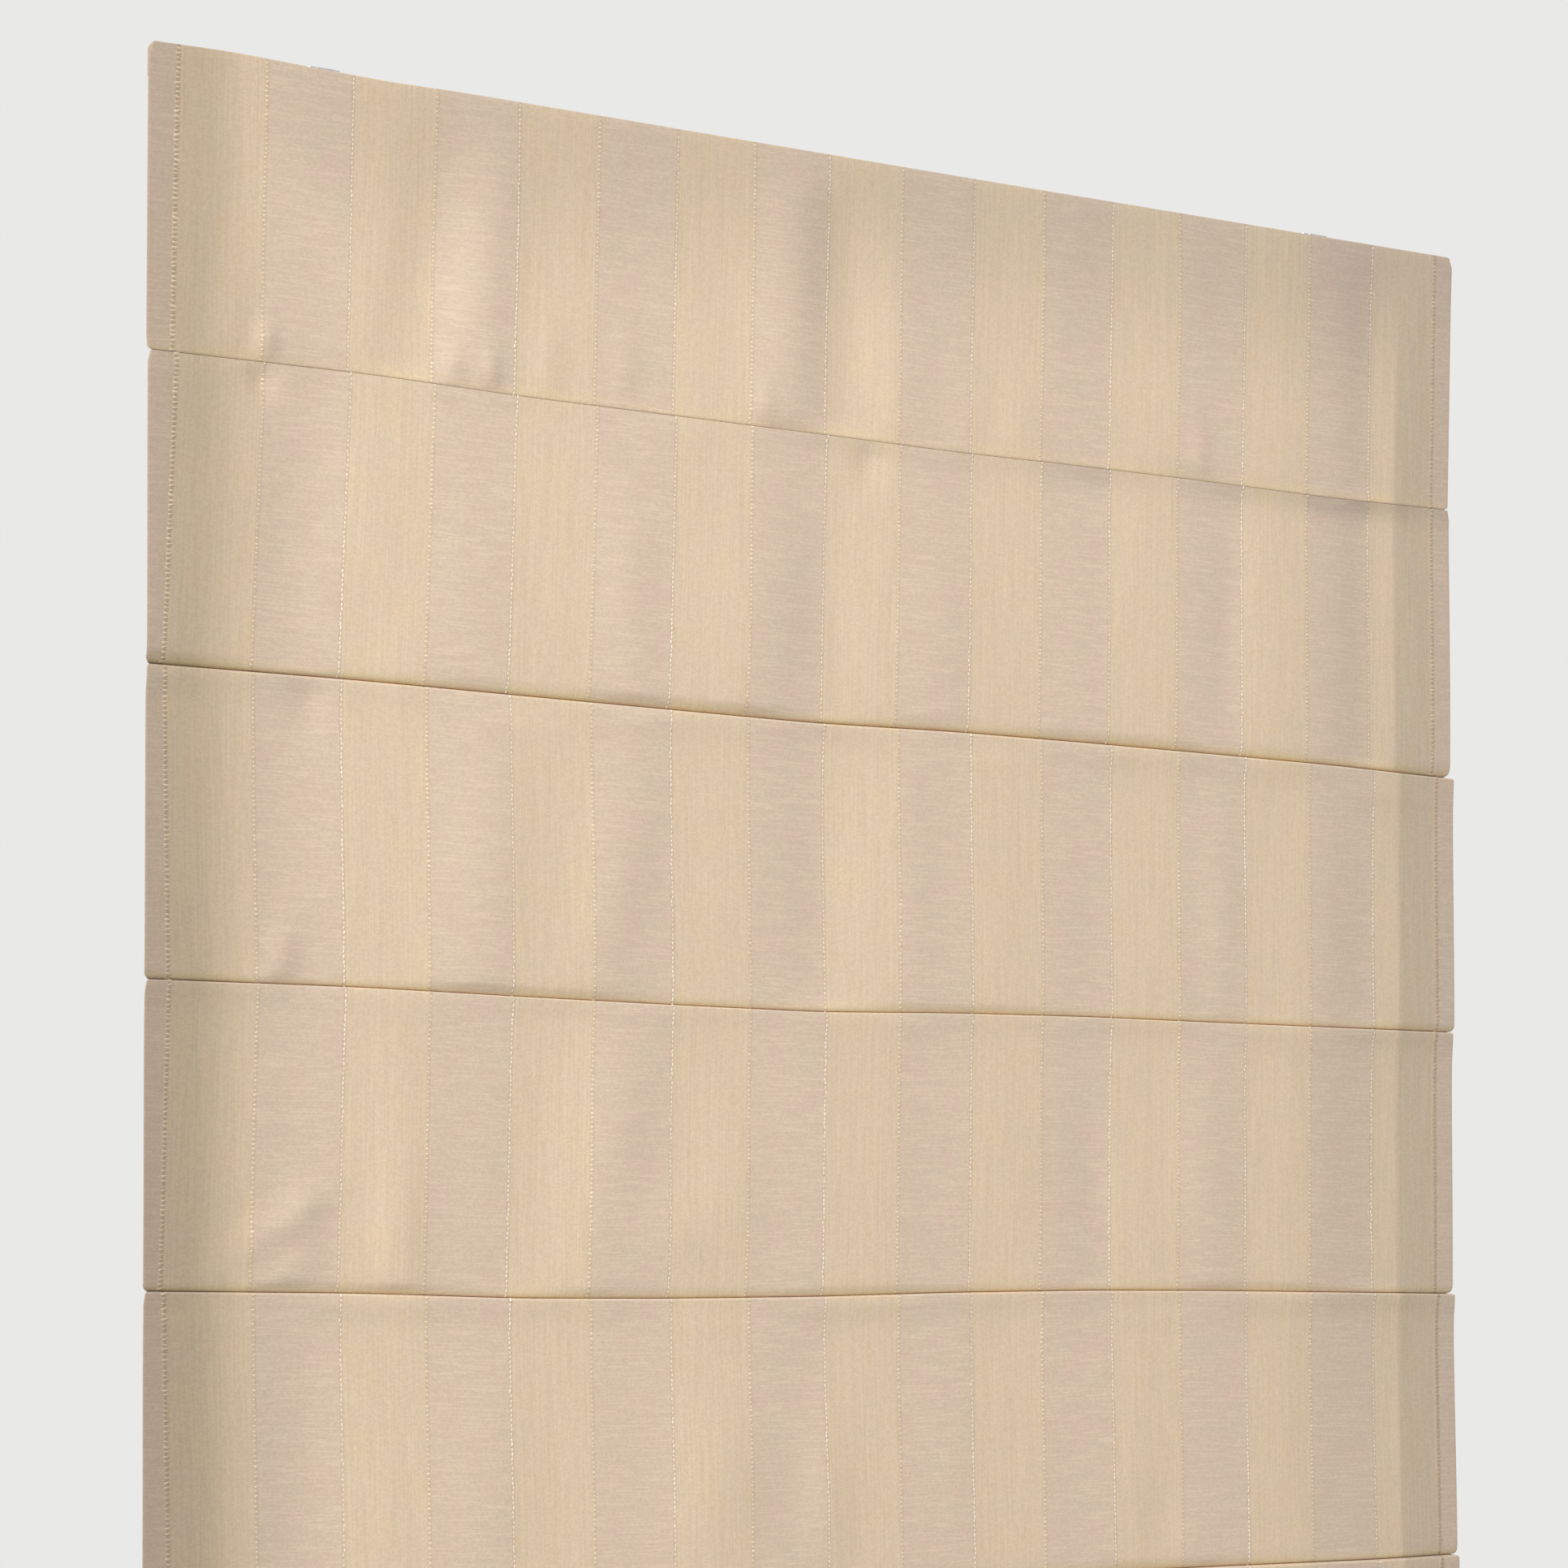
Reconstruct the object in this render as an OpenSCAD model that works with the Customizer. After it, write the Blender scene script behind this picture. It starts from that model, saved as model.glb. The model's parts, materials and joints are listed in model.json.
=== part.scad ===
// Lined roman blind on a chain-driven headrail, in millimetres.
// The origin is the middle of the brackets' fixing plane. +Z is up and the face cloth looks towards -Y.

/* [Cloth] */
// Finished width of the face cloth
cloth_w = 1220; // [700:10:1800]
// Finished drop of the face cloth
cloth_drop = 1370; // [900:10:2000]
// Number of equal panels in the drop, with a batten at each seam between them
panel_count = 6; // [4:1:8]
// Thickness of the face cloth
face_t = 0.8; // [0.5:0.1:1.2]
// Thickness of the lining
lining_t = 0.5; // [0.3:0.1:0.8]
// Width of the pressed side hems
side_hem = 62; // [20:1:90]
// Height of the turned top hem
top_hem = 25; // [15:1:30]
// Height of the bottom hem that holds the weight bar
bottom_hem = 45; // [40:1:70]
// Distance that the lining is set in from each side
lining_inset = 28; // [10:1:40]
// Radius of the soft shoulder under each seam
shoulder_r = 3; // [2:0.1:5]
// Depth of the roll that hangs over each seam
roll_d = 5; // [4:0.1:6]
// Height over which the roll turns in to its seam
roll_h = 12; // [6:0.5:13]
// Distance that the foot of a panel bellies forward
panel_belly = 3.5; // [1.5:0.1:6]
// Depth of the stitched stretch behind the shoulder
seam_flat = 0.5; // [0.3:0.1:2]
// Slit between the two layers of a stitched seam
seam_slit = 0.2; // [0.1:0.05:0.4]
// Radius of the panels' soft corners
corner_r = 4.5; // [2:0.1:8]
// Gap between a cloth layer and what it lies on
cloth_gap = 0.3; // [0.2:0.05:0.5]

/* [Battens] */
// Diameter of the fibreglass battens
batten_d = 4.5; // [3:0.1:6]
// Distance from the lining back to a batten's middle
pocket_reach = 18; // [12:0.5:26]
// Distance that a batten pocket droops below its seam
pocket_droop = 6; // [0:0.5:12]
// Length of batten that stands out of the lining at each end
batten_overhang = 5; // [5:0.5:9]
// Wall of the batten caps
batten_cap_wall = 1.2; // [0.8:0.1:2]

/* [Bottom bar] */
// Thickness of the flat weight bar
bar_t = 3; // [2.5:0.1:5]
// Height of the weight bar
bar_h = 22; // [16:0.5:26]
// Wall of the hollow weight bar
bar_wall = 0.8; // [0.6:0.05:1]
// Distance of the bar's ends from the cloth's sides
bar_inset = 12; // [6:0.5:30]
// Length of a bar cap's tongue inside the bar
bar_tongue = 12; // [6:0.5:25]

/* [Headrail] */
// Depth of the headrail from front to back
rail_d = 38; // [34:0.5:48]
// Height of the headrail
rail_h = 34; // [31:0.5:44]
// Wall of the headrail extrusion
rail_wall = 1.5; // [1.2:0.1:2]
// Radius of the extrusion's outer edges
rail_edge_r = 0.7; // [0.4:0.1:1.1]
// Height inside the bracket slot
slot_h = 5; // [4.6:0.1:7]
// Width of the bracket slot's mouth
slot_mouth = 28; // [25:0.5:29]
// Width of the two lips under the lift gear
foot_lip = 4; // [3:0.1:6]
// Distance that the rail assembly stops short of the cloth's sides
rail_inset = 20; // [10:0.5:26]
// Distance of the cloth's top edge below the rail's top
cloth_step = 0.5; // [0:0.1:3]
// Thickness of each half of the touch tape
tape_t = 1.2; // [0.8:0.1:2]
// Height of the touch tape
tape_h = 22; // [16:0.5:24]

/* [Lift gear] */
// Side of the square lift shaft
shaft_s = 5; // [4:0.1:6]
// Wall around the shaft's square hole in a drum, wheel or bush
journal_wall = 1.8; // [1.2:0.1:2.4]
// Length of cord core on each drum
core_l = 30; // [20:0.5:45]
// Difference in radius from end to end of a drum's core
core_taper = 1.5; // [0.5:0.1:2]
// Depth of cord room between a drum's flange rim and its core
cord_room = 2; // [1.2:0.1:2.4]
// Thickness of a drum's flanges
flange_t = 1.5; // [1:0.1:2.5]
// Gap between a drum's flange and its cradle
drum_gap = 0.6; // [0.4:0.05:1.2]
// Distance of the outer cord lines from the cloth's sides
cord_inset = 65; // [50:1:120]
// Thickness of a cradle's bearing walls
cradle_wall = 3; // [2:0.1:5]
// Thickness of a cradle's floor
cradle_floor = 1.5; // [1:0.1:2]
// Width of the slot that a lift cord leaves through
cord_slot_w = 3; // [2:0.1:3.8]

/* [Control end] */
// Diameter of the operating chain's balls
ball_d = 4.5; // [3:0.1:5]
// Distance between the balls along the chain
ball_pitch = 6; // [5.2:0.1:7]
// Number of ball pockets in the chain wheel
wheel_pockets = 10; // [8:1:12]
// Width of the chain wheel's rim
wheel_w = 8; // [6.5:0.1:10]
// Height of the wheel's rim above its pitch circle
wheel_rim = 1.25; // [0.8:0.05:1.6]
// Gap around the balls in the housing
chain_gap = 0.8; // [0.5:0.05:1.2]
// Thickness of the cover on the control housing
cover_t = 2.5; // [2:0.1:4]
// Wall under the wheel well and around bearings
housing_wall = 1.8; // [1.4:0.1:3]
// Thickness of the end cap's plate
cap_t = 4; // [3:0.1:6]
// Length of the plugs that enter the rail
plug_l = 9; // [7:0.5:16]
// Diameter of the cover screws
cover_screw_d = 2.5; // [2:0.1:3]

/* [Brackets] */
// Distance between the two brackets' screw holes
bracket_spacing = 940; // [400:10:1400]
// Distance between the two screw holes of one bracket
hole_spacing = 14; // [12:0.5:16]
// Diameter of the screw holes
screw_hole_d = 5; // [4:0.1:5.5]
// Thickness of the bracket plates
plate_t = 1.6; // [1.2:0.1:2.2]
// Width of a bracket plate along the rail
plate_w = 28; // [26:0.5:40]
// Distance from the screw holes to the lever's pivot, along the rail
pivot_x = 11; // [10:0.5:13]
// Distance of the lever's pivot behind the rail's middle
pivot_y = 6; // [5:0.5:7]
// Thickness of the lever's handle and of its cam
lever_t = 1.8; // [1.4:0.1:2]
// Width of the lever's handle
lever_w = 9; // [8:0.5:11]
// Distance that the handle stands out behind the rail
lever_reach = 11; // [6:0.5:18]
// Overlap of claw and cam under the rail's lips
lip_hold = 2.2; // [1.4:0.1:2.8]
// Diameter of the lever's rivet
rivet_d = 5; // [4:0.1:5.5]
// Gap above and below the lever
lever_gap = 0.3; // [0.2:0.05:0.5]

/* [Cord fittings] */
// Diameter of the wire of the cord rings
ring_wire = 2.4; // [1.6:0.1:3]
// Diameter of the hole in the cord rings
ring_hole = 3.6; // [2.6:0.1:3.9]
// Diameter of the cord hole in the anchors
anchor_hole = 2.5; // [1.6:0.1:3.5]

/* [Fits] */
// Radial gap of a turning fit
running_gap = 0.05; // [0.02:0.01:0.1]
// Gap of a part that slips into another by hand
slip_gap = 0.15; // [0.1:0.05:0.25]

/* [Hidden] */
$fn = 64;
cloth_colour = [0.86, 0.76, 0.63];
lining_colour = [0.94, 0.92, 0.87];
white_plastic = [0.93, 0.93, 0.91];
white_metal = [0.95, 0.95, 0.94];
zinc = [0.72, 0.73, 0.74];
cut_over = 1;
fold_steps = 8;
belly_steps = 10;

// Levels of the rail, from the fixing plane down
rail_top = -(plate_t + lever_t + 2 * lever_gap);
rail_foot = rail_top - rail_h;
rail_mid = (rail_top + rail_foot) / 2;
slot_top = rail_top - rail_wall;
slot_floor = slot_top - slot_h;
chamber_top = slot_floor - rail_wall;
chamber_foot = rail_foot + rail_wall;
chamber_h = chamber_top - chamber_foot;
chamber_d = rail_d - 2 * rail_wall;
axis_z = (chamber_top + chamber_foot) / 2;

// Layers in front of the rail, from the rail forwards
rail_front = -rail_d / 2;
tape_front = rail_front - 2 * tape_t;
top_hem_y = tape_front - cloth_gap - face_t / 2;
lining_top_y = top_hem_y - face_t / 2 - cloth_gap - lining_t / 2;
hem_back_y = lining_top_y - lining_t / 2 - cloth_gap;
face_y = hem_back_y - 1.5 * face_t;
belly_y = face_y - panel_belly;

// Levels of the cloth
cloth_top = rail_top - cloth_step;
cloth_foot = cloth_top - cloth_drop;
panel_h = cloth_drop / panel_count;
seam_count = panel_count - 1;
top_fold_r = (top_hem_y - face_y) / 2;
top_fold_z = cloth_top - face_t / 2 - top_fold_r;
seam_r = (face_t + seam_slit) / 2;
seam_y = face_y + shoulder_r + seam_flat;
lining_y = seam_y + seam_r + 1.5 * face_t + cloth_gap + lining_t / 2;
lining_w = cloth_w - 2 * lining_inset;
bar_front = face_y + 1.5 * face_t + cloth_gap;
foot_hem_y = bar_front + bar_t + cloth_gap + face_t / 2;
foot_fold_r = (foot_hem_y - face_y) / 2;
foot_fold_z = cloth_foot + face_t / 2 + foot_fold_r;
lining_foot_y = foot_hem_y - face_t / 2 - cloth_gap - lining_t / 2;

// The lining is caught under both hems by this much, and eases over this height from one level to the next
lining_tuck = 10;
lining_ease = 30;

// Batten pockets
pocket_r = batten_d / 2 + cloth_gap + lining_t / 2;
pocket_mouth = lining_t + seam_slit / 2;
batten_y = lining_y + pocket_reach;
batten_l = lining_w + 2 * batten_overhang;
batten_cap_r = batten_d / 2 + running_gap + batten_cap_wall;

// Rail assembly from end to end
ends_x = cloth_w / 2 - rail_inset;
well_gap = 0.5;
well_l = wheel_w + 2 * well_gap;
bearing_l = 3;
rail_x0 = -ends_x + cover_t + well_l + bearing_l;
rail_x1 = ends_x - cap_t;
housing_x0 = -ends_x + cover_t;
wheel_x0 = housing_x0 + well_gap;
wheel_x1 = wheel_x0 + wheel_w;
cap_skin = 1.5;

// Turning parts
shaft_x0 = wheel_x0 + 2 * well_gap;
shaft_x1 = ends_x - cap_skin - 2 * well_gap;
shaft_hole = shaft_s + 2 * slip_gap;
journal_r = shaft_hole / sqrt(2) + journal_wall;
journal_l = cradle_wall + 2 * well_gap;
bearing_r = journal_r + running_gap;
snap_mouth = 0.85 * 2 * journal_r;
bush_l = plug_l + cap_t - cap_skin;
flange_r = chamber_h / 2 - slip_gap - cradle_floor - drum_gap;
core_r = flange_r - cord_room;
drum_l = core_l + 2 * flange_t + 2 * journal_l;
pitch_r = wheel_pockets * ball_pitch / (2 * PI);
rim_r = pitch_r + wheel_rim;
well_r = pitch_r + ball_d / 2 + chain_gap;
way_w = ball_d + 2 * chain_gap;
stub_r = 3.5;
stub_l = 1.5;
screw_inset = 1.5 * cover_screw_d;
housing_foot = min(rail_foot, axis_z - well_r - housing_wall);
housing_half = max(rail_d / 2, well_r + housing_wall + 1.2 * screw_inset);
cord_x = [for (side = [-1, 0, 1]) side * (cloth_w / 2 - cord_inset)];

// Bracket and lever, from the plate down
handle_top = -plate_t - lever_gap;
cam_top = slot_top - lever_gap;
cam_foot = cam_top - lever_t;
rivet_head_t = 1;
rivet_lip = 1.6;
rivet_head_r = rivet_d / 2 + rivet_lip;
rivet_sink = 1.2;
claw_gap = 0.6;
claw_y = -slot_mouth / 2 + claw_gap + plate_t / 2;
claw_w = 14;
claw_inner_r = 1;
claw_bend = claw_inner_r + plate_t / 2;
plate_front = claw_y + claw_bend;
plate_tail = 3;
plate_rear = slot_mouth / 2 + plate_tail;
plate_edge = 8;
plate_corner_r = 3;
claw_x = plate_w / 2 - plate_edge;
cam_r = 6;
nose_w = 8;
nose_r = slot_mouth / 2 + lip_hold - pivot_y;
neck_wall = 2.4;
neck_r = rivet_d / 2 + neck_wall;
handle_l = rail_d / 2 + lever_reach - pivot_y;

// Weight bar in the bottom hem, drawn in Y and Z
bar_mid = [bar_front + bar_t / 2, foot_fold_z + bar_h / 2];
bar_x = cloth_w / 2 - bar_inset;
bar_cap_t = 2;

batten_names = [for (k = [1:seam_count]) str("batten_", k)];

// Points along an oval or a round arc in a section, from angle a0 to a1 in n steps
function oval(c, half_w, half_h, a0, a1, n) =
    [for (i = [0:n]) let (a = a0 + (a1 - a0) * i / n) c + [half_w * cos(a), half_h * sin(a)]];

function arc(c, r, a0, a1, n) = oval(c, r, r, a0, a1, n);

function unit(v) = v / norm(v);
function left_of(v) = [-v[1], v[0]];
function ease(t) = t * t * (3 - 2 * t);

// Mitred normal of a path at point i, to the left of its travel
function mitre(p, i) =
    let (j = max(i, 1), k = min(i, len(p) - 2))
    let (before = left_of(unit(p[j] - p[j - 1])), after = left_of(unit(p[k + 1] - p[k])))
    let (middle = unit(before + after))
    middle / (middle * before);

// Outline of a strip along a path. The left thickness is a list, one value for each point
function strip(p, left, right) = concat(
    [for (i = [0:len(p) - 1]) p[i] + left[i] * mitre(p, i)],
    [for (i = [len(p) - 1:-1:0]) p[i] - right * mitre(p, i)]);

function even(p, t) = [for (point = p) t];

function seam_z(k) = cloth_top - k * panel_h;

// Front of one panel, from its shoulder to its foot, without the two end points
function belly(top_z, foot_z) =
    [for (i = [1:belly_steps - 1])
        let (t = i / belly_steps) [face_y - panel_belly * ease(t), top_z + (foot_z - top_z) * t]];

// Roll above a seam, the stitched fold and the shoulder under it
function seam_path(k) =
    let (z = seam_z(k))
    concat(
        oval([belly_y + roll_d, z + seam_r + roll_h], roll_d, roll_h, 180, 270, fold_steps),
        arc([seam_y, z], seam_r, 90, -90, fold_steps / 2),
        arc([face_y + shoulder_r, z - seam_r - shoulder_r], shoulder_r, 90, 180, fold_steps));

function panel_top(k) = k == 1 ? top_fold_z - cloth_gap : seam_z(k - 1) - seam_r - shoulder_r;

top_path = concat(
    [[top_hem_y, top_fold_z - top_hem]],
    arc([(top_hem_y + face_y) / 2, top_fold_z], top_fold_r, 0, 180, fold_steps));
panels_path = concat(
    [[face_y, top_fold_z - cloth_gap]],
    [for (k = [1:seam_count])
        each concat(belly(panel_top(k), seam_z(k) + seam_r + roll_h), seam_path(k))],
    [[face_y, foot_fold_z + cloth_gap]]);
foot_path = concat(
    arc([(face_y + foot_hem_y) / 2, foot_fold_z], foot_fold_r, 180, 360, fold_steps),
    [[foot_hem_y, cloth_foot + bottom_hem]]);
face_path = concat(top_path, panels_path, foot_path);
sheet_left = even(face_path, face_t / 2);
hemmed_left = concat(
    even(top_path, face_t / 2), even(panels_path, 1.5 * face_t), even(foot_path, face_t / 2));

// Middle of batten k in its pocket
function batten_at(k) = [batten_y, seam_z(k) - pocket_droop];

// Pocket around batten k: two tangents from the seam and the round between them
function pocket_path(k) =
    let (seam = [lining_y, seam_z(k)], c = batten_at(k), away = seam - c)
    let (middle = atan2(away[1], away[0]), spread = acos(pocket_r / norm(away)))
    concat(
        [seam + [0, pocket_mouth]],
        arc(c, pocket_r, middle - spread, middle + spread - 360, 2 * fold_steps),
        [seam - [0, pocket_mouth]]);

lining_path = concat(
    [[lining_top_y, top_fold_z - lining_tuck]],
    [[lining_top_y, rail_foot - lining_tuck]],
    [[lining_y, rail_foot - lining_tuck - lining_ease]],
    [for (k = [1:seam_count]) each pocket_path(k)],
    [[lining_y, cloth_foot + bottom_hem + lining_ease]],
    [[lining_foot_y, cloth_foot + bottom_hem + cloth_gap]],
    [[lining_foot_y, cloth_foot + bottom_hem - lining_tuck]]);

// A section drawn in Y and Z, extruded along the rail
module along_x(x0, x1) {
    translate([x0, 0, 0]) rotate([90, 0, 90]) linear_extrude(x1 - x0) children();
}

// A round about the lift axis
module axis_round(x0, x1, r) {
    translate([x0, 0, axis_z]) rotate([0, 90, 0]) cylinder(h = x1 - x0, r = r);
}

// A turned profile about the lift axis, drawn as radius and distance along X
module axis_turned(points) {
    translate([0, 0, axis_z]) rotate([0, 90, 0]) rotate_extrude() polygon(points);
}

module rounded_rect(w, h, r) {
    square([w - 2 * r, h], center = true);
    square([w, h - 2 * r], center = true);
    for (x = [-1, 1], y = [-1, 1]) translate([x * (w / 2 - r), y * (h / 2 - r)]) circle(r);
}

// A slot with round ends
module slot_outline(l, w) {
    square([l - w, w], center = true);
    for (x = [-1, 1]) translate([x * (l - w) / 2, 0]) circle(d = w);
}

// The gap between two soft corners at the cloth's side, seen from the front
module corner_gap() {
    difference() {
        translate([-corner_r, -corner_r]) square([corner_r + cut_over, 2 * corner_r]);
        for (side = [-1, 1])
            translate([-corner_r, side * (corner_r + seam_slit / 2)]) circle(corner_r);
    }
}

module face_fabric() color(cloth_colour)
    difference() {
        union() {
            along_x(-cloth_w / 2, -cloth_w / 2 + side_hem)
                polygon(strip(face_path, hemmed_left, face_t / 2));
            along_x(-cloth_w / 2 + side_hem, cloth_w / 2 - side_hem)
                polygon(strip(face_path, sheet_left, face_t / 2));
            along_x(cloth_w / 2 - side_hem, cloth_w / 2)
                polygon(strip(face_path, hemmed_left, face_t / 2));
        }
        for (k = [1:seam_count], side = [0, 1])
            mirror([side, 0, 0])
                translate([cloth_w / 2, 0, seam_z(k)])
                    rotate([90, 0, 0]) linear_extrude(2 * rail_d, center = true) corner_gap();
    }

module lining() color(lining_colour)
    along_x(-lining_w / 2, lining_w / 2)
        polygon(strip(lining_path, even(lining_path, lining_t / 2), lining_t / 2));

module tape(front_y) {
    translate([rail_x0, front_y, rail_mid - tape_h / 2]) cube([rail_x1 - rail_x0, tape_t, tape_h]);
}

module hook_tape() color("whitesmoke") tape(rail_front - tape_t);
module loop_tape() color("white") tape(tape_front);

module rail_section() {
    difference() {
        translate([0, rail_mid]) rounded_rect(rail_d, rail_h, rail_edge_r);
        translate([-chamber_d / 2, slot_floor]) square([chamber_d, slot_h]);
        translate([-slot_mouth / 2, slot_floor]) square([slot_mouth, slot_h + rail_wall + cut_over]);
        translate([-chamber_d / 2, chamber_foot]) square([chamber_d, chamber_h]);
        translate([-chamber_d / 2 + foot_lip, rail_foot - cut_over])
            square([chamber_d - 2 * foot_lip, rail_wall + 2 * cut_over]);
    }
}

module headrail() color(white_metal) along_x(rail_x0, rail_x1) rail_section();

// The open frame of an end piece that plugs into the rail's chamber
module chamber_plug() {
    translate([0, axis_z])
        difference() {
            rounded_rect(chamber_d - 2 * slip_gap, chamber_h - 2 * slip_gap, rail_edge_r);
            rounded_rect(chamber_d - 2 * slip_gap - 2 * housing_wall,
                chamber_h - 2 * slip_gap - 2 * housing_wall, rail_edge_r);
        }
}

module end_cap() color(white_plastic)
    difference() {
        union() {
            along_x(rail_x1, ends_x)
                translate([0, rail_mid]) rounded_rect(rail_d, rail_h, 2 * rail_edge_r);
            along_x(rail_x1 - plug_l, rail_x1) chamber_plug();
            axis_round(rail_x1 - plug_l, rail_x1, bearing_r + housing_wall);
        }
        axis_round(rail_x1 - plug_l - cut_over, ends_x - cap_skin, bearing_r);
    }

// Outline shared by the control housing and its cover
module control_outline() {
    translate([0, (rail_top + housing_foot) / 2])
        rounded_rect(2 * housing_half, rail_top - housing_foot, 2 * rail_edge_r);
}

// Places of the four cover screws in the housing's corners
module at_cover_screws() {
    for (y = [-1, 1] * (housing_half - screw_inset), z = [rail_top - screw_inset, housing_foot + screw_inset])
        translate([0, y, z]) rotate([0, 90, 0]) children();
}

module control_housing() color(white_plastic)
    difference() {
        union() {
            along_x(housing_x0, rail_x0) control_outline();
            along_x(rail_x0, rail_x0 + plug_l) chamber_plug();
            axis_round(rail_x0, rail_x0 + plug_l, bearing_r + housing_wall);
        }
        axis_round(housing_x0 - cut_over, housing_x0 + well_l, well_r);
        axis_round(housing_x0, rail_x0 + plug_l + cut_over, bearing_r);
        for (side = [-1, 1])
            translate([housing_x0 - cut_over, side * pitch_r - way_w / 2, housing_foot - cut_over])
                cube([well_l - well_gap + cut_over, way_w, axis_z - housing_foot + cut_over]);
        translate([housing_x0 - cut_over, 0, 0])
            at_cover_screws() cylinder(h = well_l + cut_over, d = cover_screw_d);
    }

// Profile of a countersunk screw or its seat, grown by a gap
module cover_screw_form(gap) {
    cylinder(h = cover_t + well_l - cap_skin, d = cover_screw_d + 2 * gap);
    cylinder(h = cover_screw_d / 2, r1 = cover_screw_d + gap, r2 = cover_screw_d / 2 + gap);
}

module control_cover() color(white_plastic)
    difference() {
        along_x(-ends_x, housing_x0) control_outline();
        axis_round(housing_x0 - stub_l, housing_x0 + cut_over, stub_r + running_gap);
        translate([-ends_x, 0, 0]) at_cover_screws() cover_screw_form(running_gap);
    }

module cover_screws() color(zinc) {
    socket_w = 0.65 * cover_screw_d;
    socket_depth = 0.3 * cover_screw_d;
    translate([-ends_x, 0, 0])
        at_cover_screws()
            difference() {
                cover_screw_form(0);
                translate([0, 0, -cut_over])
                    cylinder(h = cut_over + socket_depth, d = socket_w, $fn = 6);
            }
}

module square_hole(x0, x1) {
    translate([x0, -shaft_hole / 2, axis_z - shaft_hole / 2])
        cube([x1 - x0, shaft_hole, shaft_hole]);
}

// Chain wheel: a rim with ball pockets and a link groove, a hub to the shaft and a stub in the cover
module chain_wheel() color(white_plastic) {
    hub_x1 = rail_x0 + plug_l;
    middle = (wheel_x0 + wheel_x1) / 2;
    groove_w = ball_d / 3;
    groove_r = pitch_r - groove_w / 2;
    edge = wheel_rim / 2;
    difference() {
        axis_turned([
            [0, wheel_x0 - well_gap - stub_l + slip_gap],
            [stub_r, wheel_x0 - well_gap - stub_l + slip_gap],
            [stub_r, wheel_x0],
            [rim_r - edge, wheel_x0],
            [rim_r, wheel_x0 + edge],
            [rim_r, middle - groove_w / 2],
            [groove_r, middle - groove_w / 2],
            [groove_r, middle + groove_w / 2],
            [rim_r, middle + groove_w / 2],
            [rim_r, wheel_x1 - edge],
            [rim_r - edge, wheel_x1],
            [journal_r, wheel_x1],
            [journal_r, hub_x1],
            [0, hub_x1]]);
        square_hole(wheel_x0 + well_gap, hub_x1 + cut_over);
        for (i = [0:wheel_pockets - 1])
            translate([middle, 0, axis_z])
                rotate([i * 360 / wheel_pockets, 0, 0])
                    translate([0, 0, pitch_r]) sphere(ball_d / 2 + slip_gap);
    }
}

module lift_shaft() color(zinc)
    along_x(shaft_x0, shaft_x1)
        translate([0, axis_z]) rounded_rect(shaft_s, shaft_s, slip_gap);

module shaft_bush() color(white_plastic) {
    bush_x1 = shaft_x1 + well_gap;
    collar = 1.5;
    difference() {
        union() {
            axis_round(bush_x1 - bush_l, bush_x1, journal_r);
            axis_round(bush_x1 - bush_l - collar, bush_x1 - bush_l, journal_r + collar);
        }
        square_hole(bush_x1 - bush_l - collar - cut_over, shaft_x1 + slip_gap);
    }
}

// Cord drum i: journals, two flanges and a tapered core, with a tie hole through the tall end's flange
module cord_drum(i) color(white_plastic) {
    x0 = cord_x[i - 1] - drum_l / 2;
    core_x0 = x0 + journal_l + flange_t;
    core_x1 = core_x0 + core_l;
    x1 = x0 + drum_l;
    tie_d = 1.2;
    difference() {
        axis_turned([
            [0, x0],
            [journal_r, x0],
            [journal_r, x0 + journal_l],
            [flange_r, x0 + journal_l],
            [flange_r, core_x0],
            [core_r, core_x0],
            [core_r - core_taper, core_x1],
            [flange_r, core_x1],
            [flange_r, core_x1 + flange_t],
            [journal_r, core_x1 + flange_t],
            [journal_r, x1],
            [0, x1]]);
        square_hole(x0 - cut_over, x1 + cut_over);
        translate([core_x0 - flange_t - cut_over, 0, axis_z + core_r + cord_room / 2])
            rotate([0, 90, 0]) cylinder(h = flange_t + 2 * cut_over, d = tie_d);
    }
}

// Cradle i: two bearing walls open at the top on one floor, with the slot for the lift cord
module drum_cradle(i) color(white_plastic) {
    wall_x = core_l / 2 + flange_t + well_gap;
    half_d = chamber_d / 2 - slip_gap;
    floor_z = chamber_foot + slip_gap;
    wall_h = chamber_h - 2 * slip_gap;
    translate([cord_x[i - 1], 0, 0])
        difference() {
            union() {
                translate([-wall_x - cradle_wall, -half_d, floor_z])
                    cube([2 * (wall_x + cradle_wall), 2 * half_d, cradle_floor]);
                for (x = [-wall_x - cradle_wall, wall_x])
                    along_x(x, x + cradle_wall)
                        translate([0, floor_z + wall_h / 2])
                            rounded_rect(2 * half_d, wall_h, rail_wall);
            }
            axis_round(-wall_x - cradle_wall - cut_over, wall_x + cradle_wall + cut_over, bearing_r);
            translate([-wall_x - cradle_wall - cut_over, -snap_mouth / 2, axis_z])
                cube([2 * (wall_x + cradle_wall + cut_over), snap_mouth, chamber_h]);
            translate([0, core_r, floor_z - cut_over])
                linear_extrude(cradle_floor + 2 * cut_over) slot_outline(core_l - flange_t, cord_slot_w);
        }
}

// Side view of a bracket's claw: the plate's front bent down, with its foot under the rail's front lip
claw_path = concat(
    [[plate_front + claw_bend, -plate_t / 2]],
    arc([claw_y + claw_bend, -plate_t / 2 - claw_bend], claw_bend, 90, 180, fold_steps / 2),
    [[claw_y, cam_top - plate_t / 2]],
    [[-slot_mouth / 2 - lip_hold, cam_top - plate_t / 2]]);

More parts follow.
